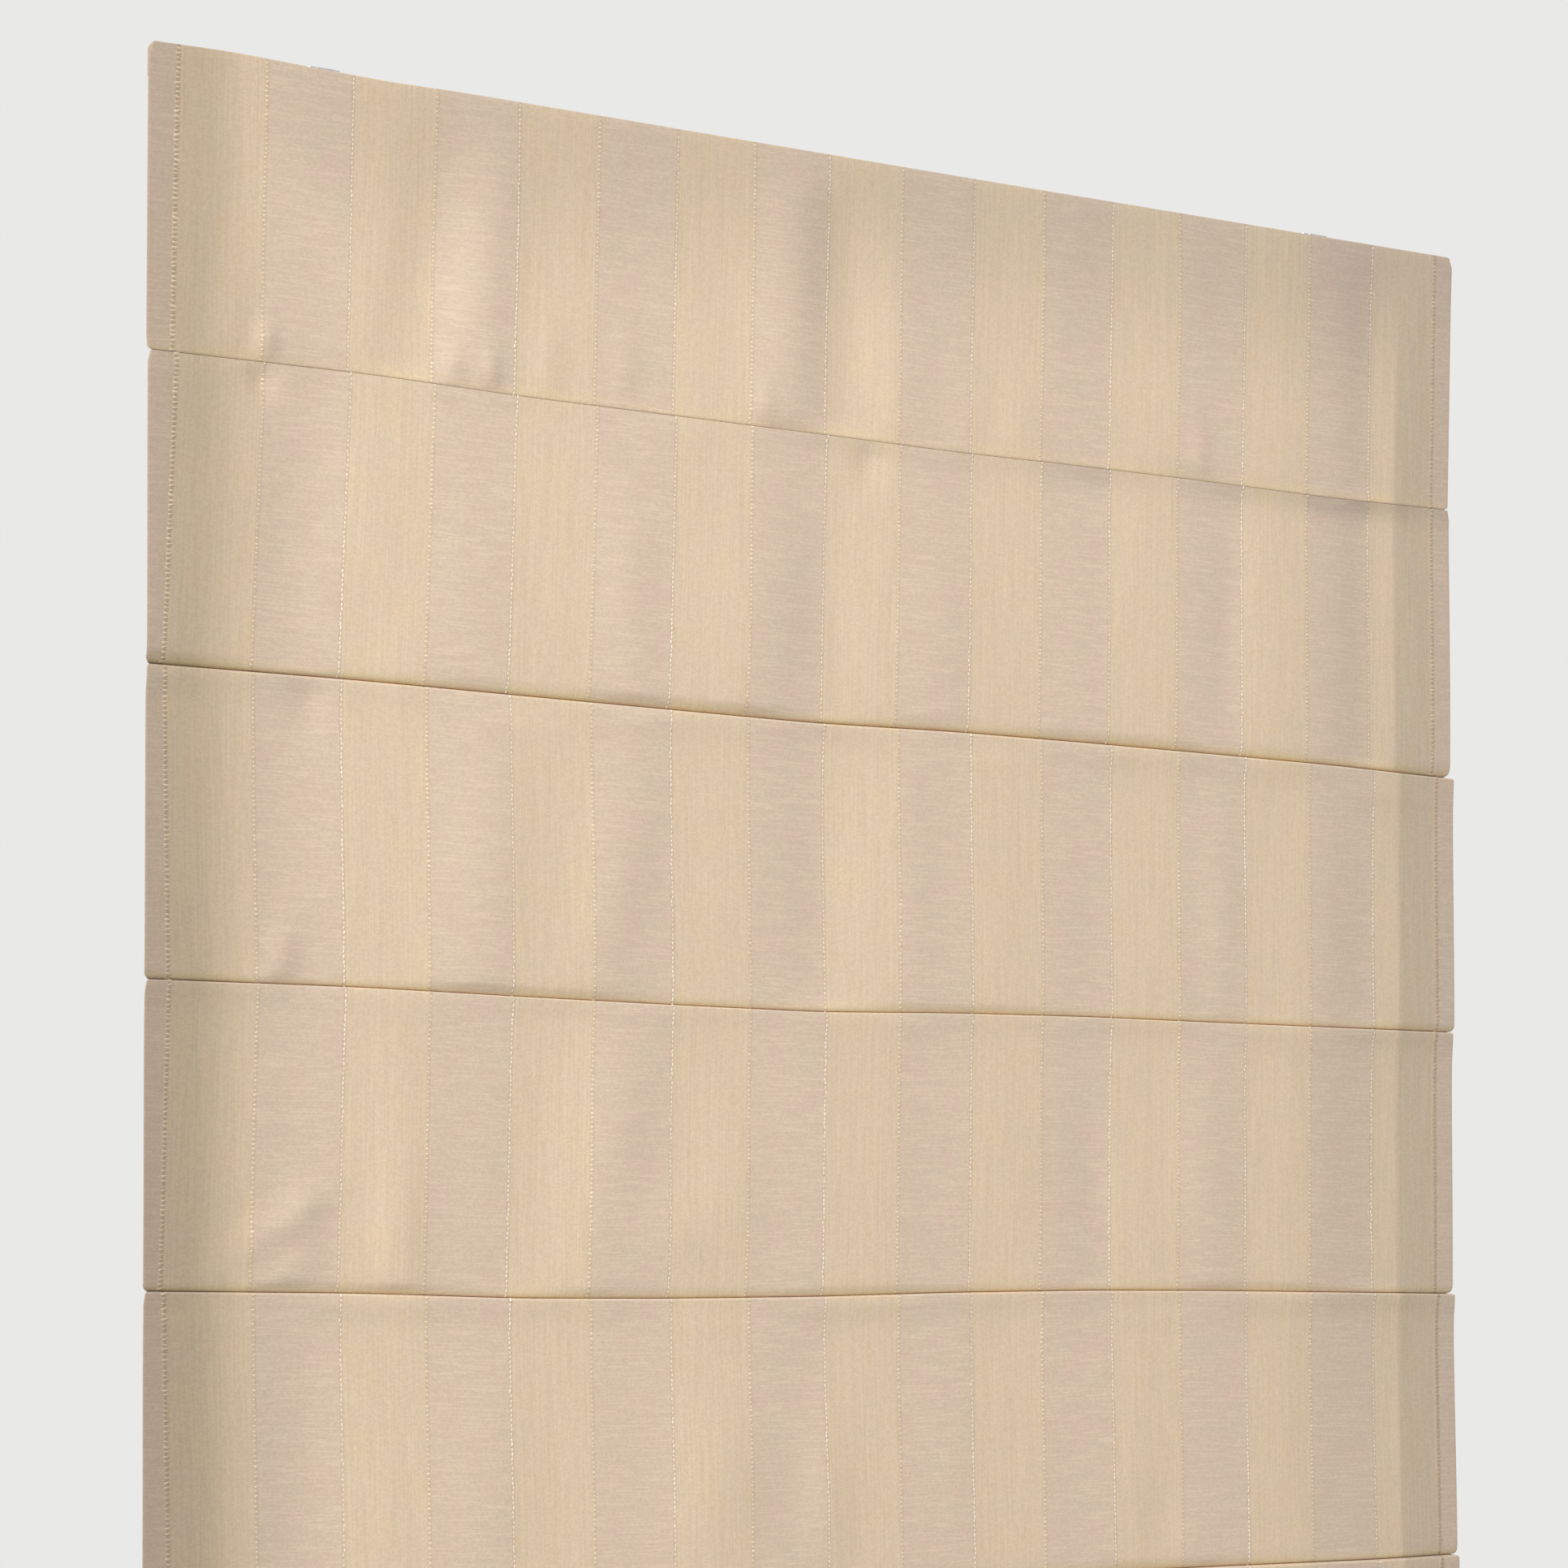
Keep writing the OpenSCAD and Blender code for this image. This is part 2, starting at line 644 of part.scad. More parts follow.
// Bracket with its screw holes at x
module bracket(x) color(zinc)
    translate([x, 0, 0])
        difference() {
            union() {
                translate([plate_w / 2 - plate_edge, (plate_front + plate_rear) / 2, -plate_t])
                    linear_extrude(plate_t)
                        rounded_rect(plate_w, plate_rear - plate_front, plate_corner_r);
                along_x(claw_x - claw_w / 2, claw_x + claw_w / 2)
                    polygon(strip(claw_path, even(claw_path, plate_t / 2), plate_t / 2));
            }
            for (y = [-1, 1])
                translate([0, y * hole_spacing / 2, -plate_t - cut_over])
                    cylinder(h = plate_t + 2 * cut_over, d = screw_hole_d);
            translate([pivot_x, pivot_y, 0]) rivet_form(running_gap);
        }

// Rivet through the plate and the lever with its sunk head, grown by a gap and carried on above the plate
module rivet_form(gap) {
    shank_foot = cam_foot - lever_gap - rivet_head_t;
    head_flare = (rivet_head_r - rivet_d / 2) / rivet_sink;
    translate([0, 0, shank_foot - gap]) cylinder(h = -shank_foot + gap, d = rivet_d + 2 * gap);
    translate([0, 0, -rivet_sink])
        cylinder(h = rivet_sink + cut_over, r1 = rivet_d / 2 + gap,
            r2 = rivet_head_r + gap + head_flare * cut_over);
}

module lever_rivets() color(zinc)
    for (x = [-1, 1] * bracket_spacing / 2)
        translate([x + pivot_x, pivot_y, 0]) {
            intersection() {
                rivet_form(0);
                translate([0, 0, -rail_h]) cylinder(h = rail_h, r = rivet_head_r);
            }
            translate([0, 0, cam_foot - lever_gap - rivet_head_t])
                cylinder(h = rivet_head_t, r = rivet_head_r);
        }

// Locking lever: handle above the lip, neck through the slot, cam under the rear lip
module bracket_lever(x) color(white_plastic)
    translate([x + pivot_x, pivot_y, 0])
        difference() {
            union() {
                translate([0, 0, handle_top - lever_t])
                    linear_extrude(lever_t) {
                        circle(neck_r + cloth_gap);
                        translate([-lever_w / 2, 0]) square([lever_w, handle_l - lever_w / 2]);
                        translate([0, handle_l - lever_w / 2]) circle(lever_w / 2);
                    }
                translate([0, 0, cam_foot]) cylinder(h = handle_top - cam_foot, r = neck_r);
                translate([0, 0, cam_foot])
                    linear_extrude(lever_t) {
                        circle(cam_r);
                        intersection() {
                            circle(nose_r);
                            translate([-nose_w / 2, 0]) square([nose_w, nose_r]);
                        }
                    }
            }
            translate([0, 0, cam_foot - cut_over])
                cylinder(h = -cam_foot, d = rivet_d + 2 * running_gap);
        }

module batten(k) color("ivory")
    translate([-batten_l / 2, batten_at(k)[0], batten_at(k)[1]])
        rotate([0, 90, 0]) cylinder(h = batten_l, d = batten_d);

// Caps on the batten ends, just outside the lining, with rounded noses
module batten_caps() color(white_plastic) {
    mouth_x = lining_w / 2 + cloth_gap;
    nose_x = batten_l / 2 + batten_cap_wall;
    for (k = [1:seam_count], side = [0, 1])
        mirror([side, 0, 0])
            translate([0, batten_at(k)[0], batten_at(k)[1]])
                rotate([0, 90, 0])
                    difference() {
                        union() {
                            translate([0, 0, mouth_x])
                                cylinder(h = nose_x - batten_cap_wall - mouth_x, r = batten_cap_r);
                            translate([0, 0, nose_x - batten_cap_wall])
                                cylinder(h = batten_cap_wall, r1 = batten_cap_r,
                                    r2 = batten_cap_r - batten_cap_wall);
                        }
                        translate([0, 0, mouth_x - cut_over])
                            cylinder(h = batten_l / 2 + running_gap - mouth_x + cut_over,
                                d = batten_d + 2 * running_gap);
                    }
}

module bar_section(inset) {
    translate(bar_mid)
        rounded_rect(bar_t - 2 * inset, bar_h - 2 * inset, bar_t / 4 - inset / 2);
}

module bottom_bar() color("silver")
    along_x(-bar_x + bar_cap_t, bar_x - bar_cap_t)
        difference() {
            bar_section(0);
            bar_section(bar_wall);
        }

module bar_caps() color(white_plastic)
    for (side = [0, 1])
        mirror([side, 0, 0]) {
            along_x(bar_x - bar_cap_t, bar_x) bar_section(0);
            along_x(bar_x - bar_cap_t - bar_tongue, bar_x - bar_cap_t) bar_section(bar_wall + slip_gap);
        }

// Cord rings, lying flat behind each pocket on each cord line
module cord_rings() color(white_plastic) {
    ring_r = (ring_hole + ring_wire) / 2;
    ring_y = batten_y + pocket_r + lining_t / 2 + cloth_gap + ring_r + ring_wire / 2;
    for (k = [1:seam_count], x = cord_x)
        translate([x, ring_y, batten_at(k)[1]])
            rotate_extrude() translate([ring_r, 0]) circle(d = ring_wire);
}

// Cord anchors on the back of the bottom hem: a foot plate and an upright barrel
module cord_anchors() color(white_plastic) {
    foot_w = 16;
    foot_h = 20;
    foot_t = 2;
    foot_corner_r = 3;
    barrel_wall = 2;
    barrel_r = anchor_hole / 2 + barrel_wall;
    barrel_h = 12;
    barrel_sink = 1;
    barrel_y = foot_t + barrel_r - barrel_sink;
    back_y = foot_hem_y + face_t / 2 + cloth_gap;
    for (x = cord_x)
        translate([x, back_y, bar_mid[1]])
            difference() {
                union() {
                    rotate([-90, 0, 0])
                        linear_extrude(foot_t) rounded_rect(foot_w, foot_h, foot_corner_r);
                    translate([0, barrel_y, -barrel_h / 2]) cylinder(h = barrel_h, r = barrel_r);
                }
                translate([0, barrel_y, -barrel_h / 2 - cut_over])
                    cylinder(h = barrel_h + 2 * cut_over, d = anchor_hole);
            }
}

face_fabric();
lining();
hook_tape();
loop_tape();
headrail();
end_cap();
control_housing();
control_cover();
cover_screws();
chain_wheel();
lift_shaft();
shaft_bush();
for (i = [1:len(cord_x)]) {
    cord_drum(i);
    drum_cradle(i);
}
bracket(-bracket_spacing / 2);  // bracket_left
bracket(bracket_spacing / 2);  // bracket_right
bracket_lever(-bracket_spacing / 2);  // bracket_lever_left
bracket_lever(bracket_spacing / 2);  // bracket_lever_right
lever_rivets();
for (k = [1:seam_count])
    batten(k);
batten_caps();
bottom_bar();
bar_caps();
cord_rings();
cord_anchors();
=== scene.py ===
# %% [markdown]
# # A lined roman blind
# The blind hangs flat: six panels of striped cloth in front, a pale lining with batten pockets
# behind it, and a white headrail on two brackets above. The rigid pieces come in ready made and
# keep their places. The cloth could be left as the plain solids that stand for it, but cloth is
# what this object is about, so both sheets are built here from their folded section, and every
# piece gets a finish of its own.

# %% Load the frame
import json
import math
import bpy
import numpy as np
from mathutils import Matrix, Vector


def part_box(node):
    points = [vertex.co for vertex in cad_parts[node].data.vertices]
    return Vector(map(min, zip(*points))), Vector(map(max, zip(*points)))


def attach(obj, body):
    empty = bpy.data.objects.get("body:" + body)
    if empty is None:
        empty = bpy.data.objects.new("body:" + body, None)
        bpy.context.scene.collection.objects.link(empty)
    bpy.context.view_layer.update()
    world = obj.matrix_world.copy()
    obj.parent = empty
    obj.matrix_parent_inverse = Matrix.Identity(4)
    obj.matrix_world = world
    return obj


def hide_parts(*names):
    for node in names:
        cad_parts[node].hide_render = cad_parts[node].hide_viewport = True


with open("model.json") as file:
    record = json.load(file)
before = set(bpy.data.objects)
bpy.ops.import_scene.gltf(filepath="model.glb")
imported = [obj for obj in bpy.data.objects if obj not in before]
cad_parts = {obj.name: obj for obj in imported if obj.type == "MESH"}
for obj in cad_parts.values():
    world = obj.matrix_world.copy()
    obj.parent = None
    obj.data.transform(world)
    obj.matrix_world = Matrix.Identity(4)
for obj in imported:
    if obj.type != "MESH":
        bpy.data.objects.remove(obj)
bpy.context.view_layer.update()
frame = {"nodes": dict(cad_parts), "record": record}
mm = 0.001

# %% [markdown]
# ## Camera
# The camera comes first, so that everything after it can be judged through it. It stands to the
# left of the blind at the height of the fourth seam and looks up a little. A long lens keeps the
# far end of the panels from shrinking too much. A little lens shift holds the upright edges nearly
# parallel, which tilting alone would not.

# %% Camera
photo_px = 1932
focal_px = 4800
sensor_mm = 36
lens_shift = 0.13
camera_place = (-1.6344, -2.652, -0.881)
camera_yaw = math.radians(30.74)
camera_pitch = math.radians(3.796)
camera_data = bpy.data.cameras.new("camera")
camera_data.sensor_width = sensor_mm
camera_data.lens = sensor_mm * focal_px / photo_px
camera_data.shift_y = lens_shift
camera = bpy.data.objects.new("camera", camera_data)
camera.location = camera_place
camera.rotation_euler = (math.pi / 2 + camera_pitch, 0, -camera_yaw)
bpy.context.scene.collection.objects.link(camera)
bpy.context.scene.camera = camera
print("lens", round(camera_data.lens, 1), "mm")

# %% [markdown]
# ## Measures of the cloth
# The cloth has to sit where its solid sits, so its width, drop and layers are read from the frame.
# A seam lies at each batten, which gives the panels. The few sizes that no box can tell, such as
# the thickness of the cloth, are written here once.

# %% Measures of the cloth
cloth_t = 0.8 * mm
layer_gap = 0.3 * mm
face_low, face_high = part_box("face_fabric")
half_w = face_high.x
top_z, foot_z = face_high.z, face_low.z
battens = sorted(name for name in frame["nodes"] if name.startswith("batten_") and name != "batten_caps")
panels = len(battens) + 1
panel_h = (top_z - foot_z) / panels
tape_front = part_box("loop_tape")[0].y
bar_front, bar_back = (corner.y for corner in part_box("bottom_bar"))
top_hem_y = tape_front - layer_gap - cloth_t / 2
front_y = bar_front - layer_gap - 1.5 * cloth_t
foot_hem_y = bar_back + layer_gap + cloth_t / 2
full_belly = front_y - cloth_t / 2 - face_low.y
seams = [top_z - k * panel_h for k in range(panels + 1)]
print(f"cloth {2 * half_w:.3f} m wide, {top_z - foot_z:.3f} m long,",
      f"{panels} panels, belly {full_belly / mm:.1f} mm")

# %% [markdown]
# ## Section of the face cloth
# Seen from the side, the cloth is one line: up the back of the top hem, over the fold, down the six
# panels and round the bottom hem. At each seam the panel above rolls over a pinch in the cloth and
# the panel below starts with a soft shoulder. A cloth simulation could find such a line, but a sewn
# blind has the same fold at each seam, so arcs say it better. Seams are not pinched equally hard,
# so each has its share of the full roll. Each point also gets a station: panel k runs from 2k - 2
# to 2k - 1, and the pinch under it takes the next one. Stations let later steps treat the two sides
# of a seam apart.

# %% Section of the face cloth
top_hem = 25 * mm
bottom_hem = 45 * mm
shoulder_r = 3 * mm
roll_lip = 1.5 * mm
roll_h = 15 * mm
pinch_r = 0.5 * mm
pinch_depth = 3.5 * mm
seam_share = (0.16, 0.8, 0.55, 0.62, 0.75)
front_steps, roll_steps, pinch_steps, shoulder_steps = 26, 9, 4, 6
top_fold_steps, foot_fold_steps, hem_steps = 8, 10, 6
roll_station = 0.1
fold_r = (top_hem_y - front_y) / 2
fold_z = top_z - cloth_t / 2 - fold_r
foot_r = (foot_hem_y - front_y) / 2
foot_fold_z = foot_z + cloth_t / 2 + foot_r


def oval(y, z, half_y, half_z, start, end, steps):
    """Points of an oval arc in the side view, between two angles in degrees."""
    angle = np.radians(np.linspace(start, end, steps + 1))
    return np.column_stack([y + half_y * np.cos(angle), z + half_z * np.sin(angle)])


def line(y0, z0, y1, z1, steps):
    """Points of a straight stretch in the side view, without its last point."""
    share = np.linspace(0, 1, steps + 1)[:-1]
    return np.column_stack([y0 + (y1 - y0) * share, z0 + (z1 - z0) * share])


def ease(t):
    """A smooth step from 0 to 1."""
    t = np.clip(t, 0, 1)
    return t * t * (3 - 2 * t)


def panel_stretch(k):
    """Front of panel k, with its roll, pinch and shoulder if a seam follows."""
    above = seam_share[k - 2] if k > 1 else 0
    below = seam_share[k - 1] if k < panels else 0
    start = seams[k - 1] - (pinch_r + shoulder_r) * above if k > 1 else fold_z
    end = seams[k] + (pinch_r + roll_h) * below if k < panels else foot_fold_z
    share = np.linspace(0, 1, front_steps + 1)[1:]
    front = np.column_stack([front_y - full_belly * below * ease(share), start + (end - start) * share])
    stretch = [(front, 2 * k - 2, 2 * k - 1 - roll_station)]
    if k < panels:
        lip, slit, soft = roll_lip * below, pinch_r * below, shoulder_r * below
        roll = oval(front_y + lip, end, full_belly * below + lip, roll_h * below, 180, 270, roll_steps)[1:]
        pinch = oval(front_y + pinch_depth * below, seams[k], slit, slit, 90, -90, pinch_steps)
        shoulder = oval(front_y + soft, seams[k] - slit - soft, soft, soft, 90, 180, shoulder_steps)
        stretch += [(roll, 2 * k - 1 - roll_station, 2 * k - 1), (pinch, 2 * k - 1, 2 * k)]
        stretch += [(shoulder, 2 * k, 2 * k)]
    return stretch


stretches = [(line(top_hem_y, fold_z - top_hem, top_hem_y, fold_z, hem_steps), 0, 0)]
stretches += [(oval((top_hem_y + front_y) / 2, fold_z, fold_r, fold_r, 0, 180, top_fold_steps), 0, 0)]
for k in range(1, panels + 1):
    stretches += panel_stretch(k)
last = 2 * panels - 1
foot_fold = oval((front_y + foot_hem_y) / 2, foot_fold_z, foot_r, foot_r, 180, 360, foot_fold_steps)[1:]
foot_hem = line(foot_hem_y, foot_z + bottom_hem, foot_hem_y, foot_fold_z, hem_steps)[::-1]
stretches += [(foot_fold, last, last), (foot_hem, last, last)]
section = np.concatenate([points for points, start, end in stretches])
station = np.concatenate([np.linspace(start, end, len(points)) for points, start, end in stretches])
steps = np.linalg.norm(np.diff(section, axis=0), axis=1)
length = np.concatenate([[0], np.cumsum(steps)])
top_row = int(np.argmax(section[:, 1]))
foot_row = int(np.argmin(section[:, 1]))
row_v = length - length[top_row]
print("section:", len(section), "points,", round(length[-1], 3), "m long")

# %% [markdown]
# ## Columns of the face cloth
# Across its width the sheet is flat, apart from a pressed hem at each side, where it turns back on
# itself. The hem is part of the same sheet, so the columns run from the hidden edge of the left
# hem, round its fold, along the front and round the right fold. Each column has a place, a depth
# behind the front and its distance along the uncut cloth.

# %% Columns of the face cloth
side_hem = 62 * mm
hem_turn_r = 0.45 * mm
edge_zone = 14 * mm
column_step = 4.5 * mm
edge_steps, turn_steps, back_steps = 7, 6, 8


def sheet_columns(half, hem, turn_r, step, zone):
    """Place, depth and unfolded distance of a hemmed sheet's columns, and which are on its front."""
    inner = half - zone
    count = 2 * int(inner / step)
    middle = np.linspace(-inner, inner, count + 1)
    edge = np.linspace(inner, half - turn_r, edge_steps + 1)[1:]
    front = np.concatenate([-edge[::-1], middle, edge])
    angle = np.radians(np.linspace(-90, 90, turn_steps + 1)[1:-1])
    turn = half - turn_r + turn_r * np.cos(angle)
    turn_depth = turn_r * (1 + np.sin(angle))
    back = np.linspace(half - turn_r, half - hem, back_steps + 1)
    place = np.concatenate([-back[::-1], -turn[::-1], front, turn, back])
    back_depth = np.full(len(back), 2 * turn_r)
    depth = np.concatenate([back_depth, turn_depth[::-1], np.zeros(len(front)), turn_depth, back_depth])
    spread = np.concatenate([half + turn_depth, 2 * half - back])
    unfolded = np.concatenate([-spread[::-1], front, spread])
    first = len(back) + len(turn)
    return place, depth, unfolded, slice(first, first + len(front))


col_x, col_depth, col_u, front_cols = sheet_columns(half_w, side_hem, hem_turn_r, column_step, edge_zone)
print("columns:", len(col_x), "of which", front_cols.stop - front_cols.start, "on the front")

# %% [markdown]
# ## How the cloth hangs
# Real panels are never true: seams sag between their stitches, each panel leans a little, and soft dents
# stand near the seams where the cloth is caught. Noise would make every panel equally restless. The sags,
# leans and dents are listed one by one instead, as small real sizes, so the calm parts stay calm.

# %% Sag of the seams and lean of the panels
# One row for each level from the top edge to the foot: place across and sag, in millimetres
seam_sag = [
    [(-600, 0), (-535, -2), (-510, -0.3), (-470, 0), (-425, 1.4), (-360, 0), (100, 0.6), (600, 0)],
    [(-600, 0), (-430, -1.6), (-300, 0.8), (-40, 1.2), (90, 2.2), (220, 0.8), (350, 0.5), (480, 1.5),
     (600, -0.5)],
    [(-600, 0.3), (-430, 0.3), (-300, 2), (-40, 5), (90, 3), (220, 3.3), (350, 4.3), (480, 5.7), (600, 9)],
    [(-600, 0), (-430, 0.4), (-300, 3), (-170, 5), (-40, 6.5), (90, 3.5), (220, 2.5), (350, 3.4),
     (600, 4.5)],
    [(-600, -5), (-430, -2.5), (-300, 2), (-170, 3), (-40, 2.4), (90, 0), (220, -1), (350, 0), (600, 4)],
    [(-600, -3), (-300, 2), (0, 2.6), (300, 0.6), (520, 2), (600, 1)],
    [(-600, 0), (-200, 0.8), (250, 0.4), (600, 0)],
]
# One lean for each station, in millimetres, and how far the left edge is drawn in at the top and foot
left_lean = [0.6, -2.7, 1.3, -9, -6, -0.8, 0.4, -5.4, -1.6, 4.5, 1, 0]
right_lean = [8.2, -0.8, 2.4, -3.2, 2, -1, -2, -6.2, -3.4, -4, -2, -1]
edge_band = 25 * mm
edge_lean = (0.5, 9)
run_spots = 121
run_window = 11


def smooth_run(knots, x):
    """A soft curve through listed (place, value) knots in millimetres, at x in metres."""
    places, values = np.array(knots).T
    spots = np.linspace(places[0], places[-1], run_spots)
    run = np.interp(spots, places, values)
    window = np.hanning(run_window) / np.hanning(run_window).sum()
    pad = run_window // 2
    padded = np.concatenate([np.full(pad, run[0]), run, np.full(pad, run[-1])])
    return np.interp(x / mm, spots, np.convolve(padded, window, "valid")) * mm


sag_at_station = [smooth_run(seam_sag[(i + 1) // 2], col_x) for i in range(2 * panels)]
sag = np.array([np.interp(station, range(2 * panels), [run[j] for run in sag_at_station])
                for j in range(len(col_x))]).T
lean_left = np.interp(station, range(2 * panels), left_lean)[:, None] * mm
lean_right = np.interp(station, range(2 * panels), right_lean)[:, None] * mm
across = (col_x[None, :] + half_w) / (2 * half_w)
lean = lean_left + (lean_right - lean_left) * across
lean_edge = np.interp(station, (0, 2 * panels - 1), edge_lean)[:, None] * mm
lean = lean_edge + (lean - lean_edge) * np.clip((col_x + half_w) / edge_band, 0, 1)
print("deepest sag", round(sag.max() / mm, 1), "mm, widest lean", round(np.abs(lean).max() / mm, 1), "mm")

# %% Dents and soft folds
# Each dent: place across, distance down the panel, half width, half height, tilt and rise towards the
# room. All are in millimetres, apart from the tilt in degrees.
dents = {
    1: [(-388, 150, 20, 75, -7, -3.0), (-338, 150, 20, 75, -7, 3.1), (-331, 214, 5.5, 10, -5, 2.3),
        (-363, 215, 5.5, 9, 0, 2.0), (-281, 200, 8, 22, -3, 1.3), (-216, 200, 9, 22, -3, 1.3),
        (-90, 210, 6, 13, 5, 1.6), (-66, 110, 20, 120, -2, 3.0), (-12, 140, 22, 110, 0, -3.4),
        (36, 175, 18, 50, 0, 1.6), (104, 208, 9, 20, 0, 0.8), (200, 100, 28, 90, 0, 1.6),
        (300, 130, 30, 100, 0, 2.0), (337, 208, 7, 22, 5, 1.2), (520, 120, 18, 120, 0, -2.4),
        (-514, 213, 5.5, 10, -8, 2.8), (-540, 200, 10, 30, -6, 1.2), (150, 205, 12, 25, 0, 0.9)],
    2: [(-519, 12, 7, 9, 30, -3.7), (-492, 130, 28, 70, 0, -2.6), (-428, 190, 16, 24, 10, -1.6),
        (-210, 140, 17, 60, 3, 2.0), (-98, 155, 38, 55, 4, 3.2), (7, 18, 10, 14, 0, -2.6),
        (-27, 130, 24, 90, 0, -3.2), (80, 150, 24, 50, 0, 1.5), (238, 100, 18, 80, 0, -1.4),
        (372, 110, 16, 80, -3, -1.8), (518, 130, 20, 110, 0, -2.2), (-330, 160, 30, 60, 6, 1.4)],
    3: [(-474, 20, 10, 14, 20, -2.2), (-330, 130, 25, 90, -4, 2.9), (-222, 130, 22, 75, -12, 2.8),
        (-36, 130, 22, 85, 0, -3.2), (-499, 212, 9, 20, -15, 2.4), (42, 110, 20, 90, 0, 1.5),
        (355, 140, 14, 60, 0, 1.4), (515, 160, 26, 80, 0, -2.4), (525, 16, 22, 12, 0, 2.0),
        (-505, 110, 30, 80, 0, -1.8), (225, 150, 20, 60, 0, -0.9)],
    4: [(-493, 177, 30, 9, 35, 3.0), (-490, 214, 16, 8, 20, 2.0), (-478, 182, 12, 22, 0, 1.4),
        (-401, 180, 13, 40, 2, 2.4), (-222, 120, 24, 90, -12, 2.4), (-290, 120, 22, 90, -6, -1.6),
        (-168, 178, 24, 26, -20, 2.6), (-115, 150, 22, 40, 0, 1.8), (140, 100, 22, 50, 15, 1.2),
        (228, 140, 18, 60, 5, -1.7), (340, 130, 22, 70, 3, 2.2), (520, 130, 28, 90, 0, -2.4)],
    5: [(-485, 150, 26, 80, 0, -2.2), (-128, 135, 26, 50, -8, 2.8), (-33, 160, 14, 45, 0, 2.4),
        (297, 185, 20, 25, 0, -1.4), (505, 120, 40, 80, 0, -3.0), (-330, 150, 26, 60, -6, 1.3)],
    6: [(-300, 110, 30, 60, -8, 1.6), (120, 90, 34, 60, 5, 1.4), (420, 100, 30, 60, 0, -1.4)],
}
print(sum(len(places) for places in dents.values()), "dents and folds")

# %% Rise of the cloth
# Each wave: height in millimetres, wavelength in metres, shift from panel to panel in wavelengths
slow_waves = ((0.6, 0.43, 0.31), (0.3, 0.21, 0.57), (0.12, 0.083, 0.23))
seam_hold, top_hold, foot_hold = 10 * mm, 50 * mm, 70 * mm
grid_x = np.broadcast_to(col_x, (len(section), len(col_x)))
grid_z = np.broadcast_to(section[:, 1:], grid_x.shape)
rise = np.zeros(grid_x.shape)
for panel, places in dents.items():
    in_panel = (station > 2 * panel - 2.5) & (station < 2 * panel - 0.5)
    for x, down, half_across, half_down, tilt, height in places:
        off_x = grid_x - x * mm
        off_z = grid_z - (seams[panel - 1] - down * mm)
        turn = math.radians(tilt)
        along = (off_x * math.cos(turn) + off_z * math.sin(turn)) / (half_across * mm)
        square = (off_z * math.cos(turn) - off_x * math.sin(turn)) / (half_down * mm)
        rise += height * mm * np.exp(-0.5 * (along ** 2 + square ** 2)) * in_panel[:, None]
panel_of_row = np.clip(np.round(station / 2 + 0.5), 1, panels)[:, None]
for height, wave, shift in slow_waves:
    rise += height * mm * np.sin(2 * math.pi * (grid_x / wave + shift * panel_of_row))
from_seam = np.array([min(abs(z - s) for s in seams) for z in section[:, 1]])
free = ease(from_seam / seam_hold)
free *= ease((top_z - section[:, 1]) / top_hold) * ease((section[:, 1] - foot_z) / foot_hold)
free[:top_row] = 0
free[foot_row:] = 0
rise *= free[:, None]
print("dents rise to", round(rise.max() / mm, 1), "mm and sink to", round(rise.min() / mm, 1), "mm")

# %% [markdown]
# Under each rolled seam the cloth comes forward over its batten and falls back within a finger's
# width. This soft lip is what darkens the top of the lower panels, more to the right, where the
# cloth is fuller. The first seam hardly rolls: there the lower panel starts level with the upper
# one and sinks behind it.

# %% Lips under the seams
sink_depth = [(-600, 0), (100, 1), (170, 2), (220, 3.4), (290, 2), (360, 2.6), (420, 3.6),
              (540, 4), (600, 2)]
sink_fall = 9 * mm
sink_reach = 70 * mm
lip_rise = [
    [(-600, 1.2), (200, 2.2), (400, 3.2), (600, 3)],
    [(-600, 1.8), (200, 2.8), (400, 3.6), (600, 3.4)],
    [(-600, 2), (600, 3.4)],
    [(-600, 2), (600, 3.4)],
]
lip_fall = 15 * mm
for k, knots in enumerate(lip_rise, start=2):
    depth = pinch_depth * seam_share[k - 1]
    in_panel = (station >= 2 * k) & (station < 2 * k + 1)
    forward = np.clip((front_y + depth - section[:, 0]) / depth, 0, 1)
    fall = np.exp(-np.clip(seams[k] - section[:, 1], 0, None) / lip_fall)
    rise += (in_panel * forward * fall)[:, None] * smooth_run(knots, col_x)
under_first = np.clip(seams[1] - section[:, 1], 0, None) * ((station >= 2) & (station < 3))
sink = (1 - np.exp(-under_first / sink_fall)) * np.exp(-under_first / sink_reach)
rise -= sink[:, None] * smooth_run(sink_depth, col_x)
print("lips rise to", round(rise.max() / mm, 1), "mm")

# %% [markdown]
# ## Face cloth
# Now the section is drawn out along the columns, and the sag, lean and dents are added. Panel
# corners are pulled in round at the sides of each seam. The mesh is one layer of quads, as cloth
# has no inside worth making. Its UV map holds the distance along the uncut cloth in metres, so
# stripes and threads later follow the cloth, not the room.

# %% Points of the face cloth
panel_corner = 4.5 * mm
top_corner = 7 * mm
foot_corner = 3 * mm


def corner_inset(distance, radius):
    """How far a round corner draws an edge in, at a distance from the corner's level."""
    return radius - np.sqrt(radius ** 2 - (radius - np.clip(distance, 0, radius)) ** 2)


def inward(points):
    """Unit normals of a section, towards the inside of its folds."""
    along = np.gradient(points, axis=0)
    along /= np.linalg.norm(along, axis=1)[:, None]
    return np.column_stack([-along[:, 1], along[:, 0]])


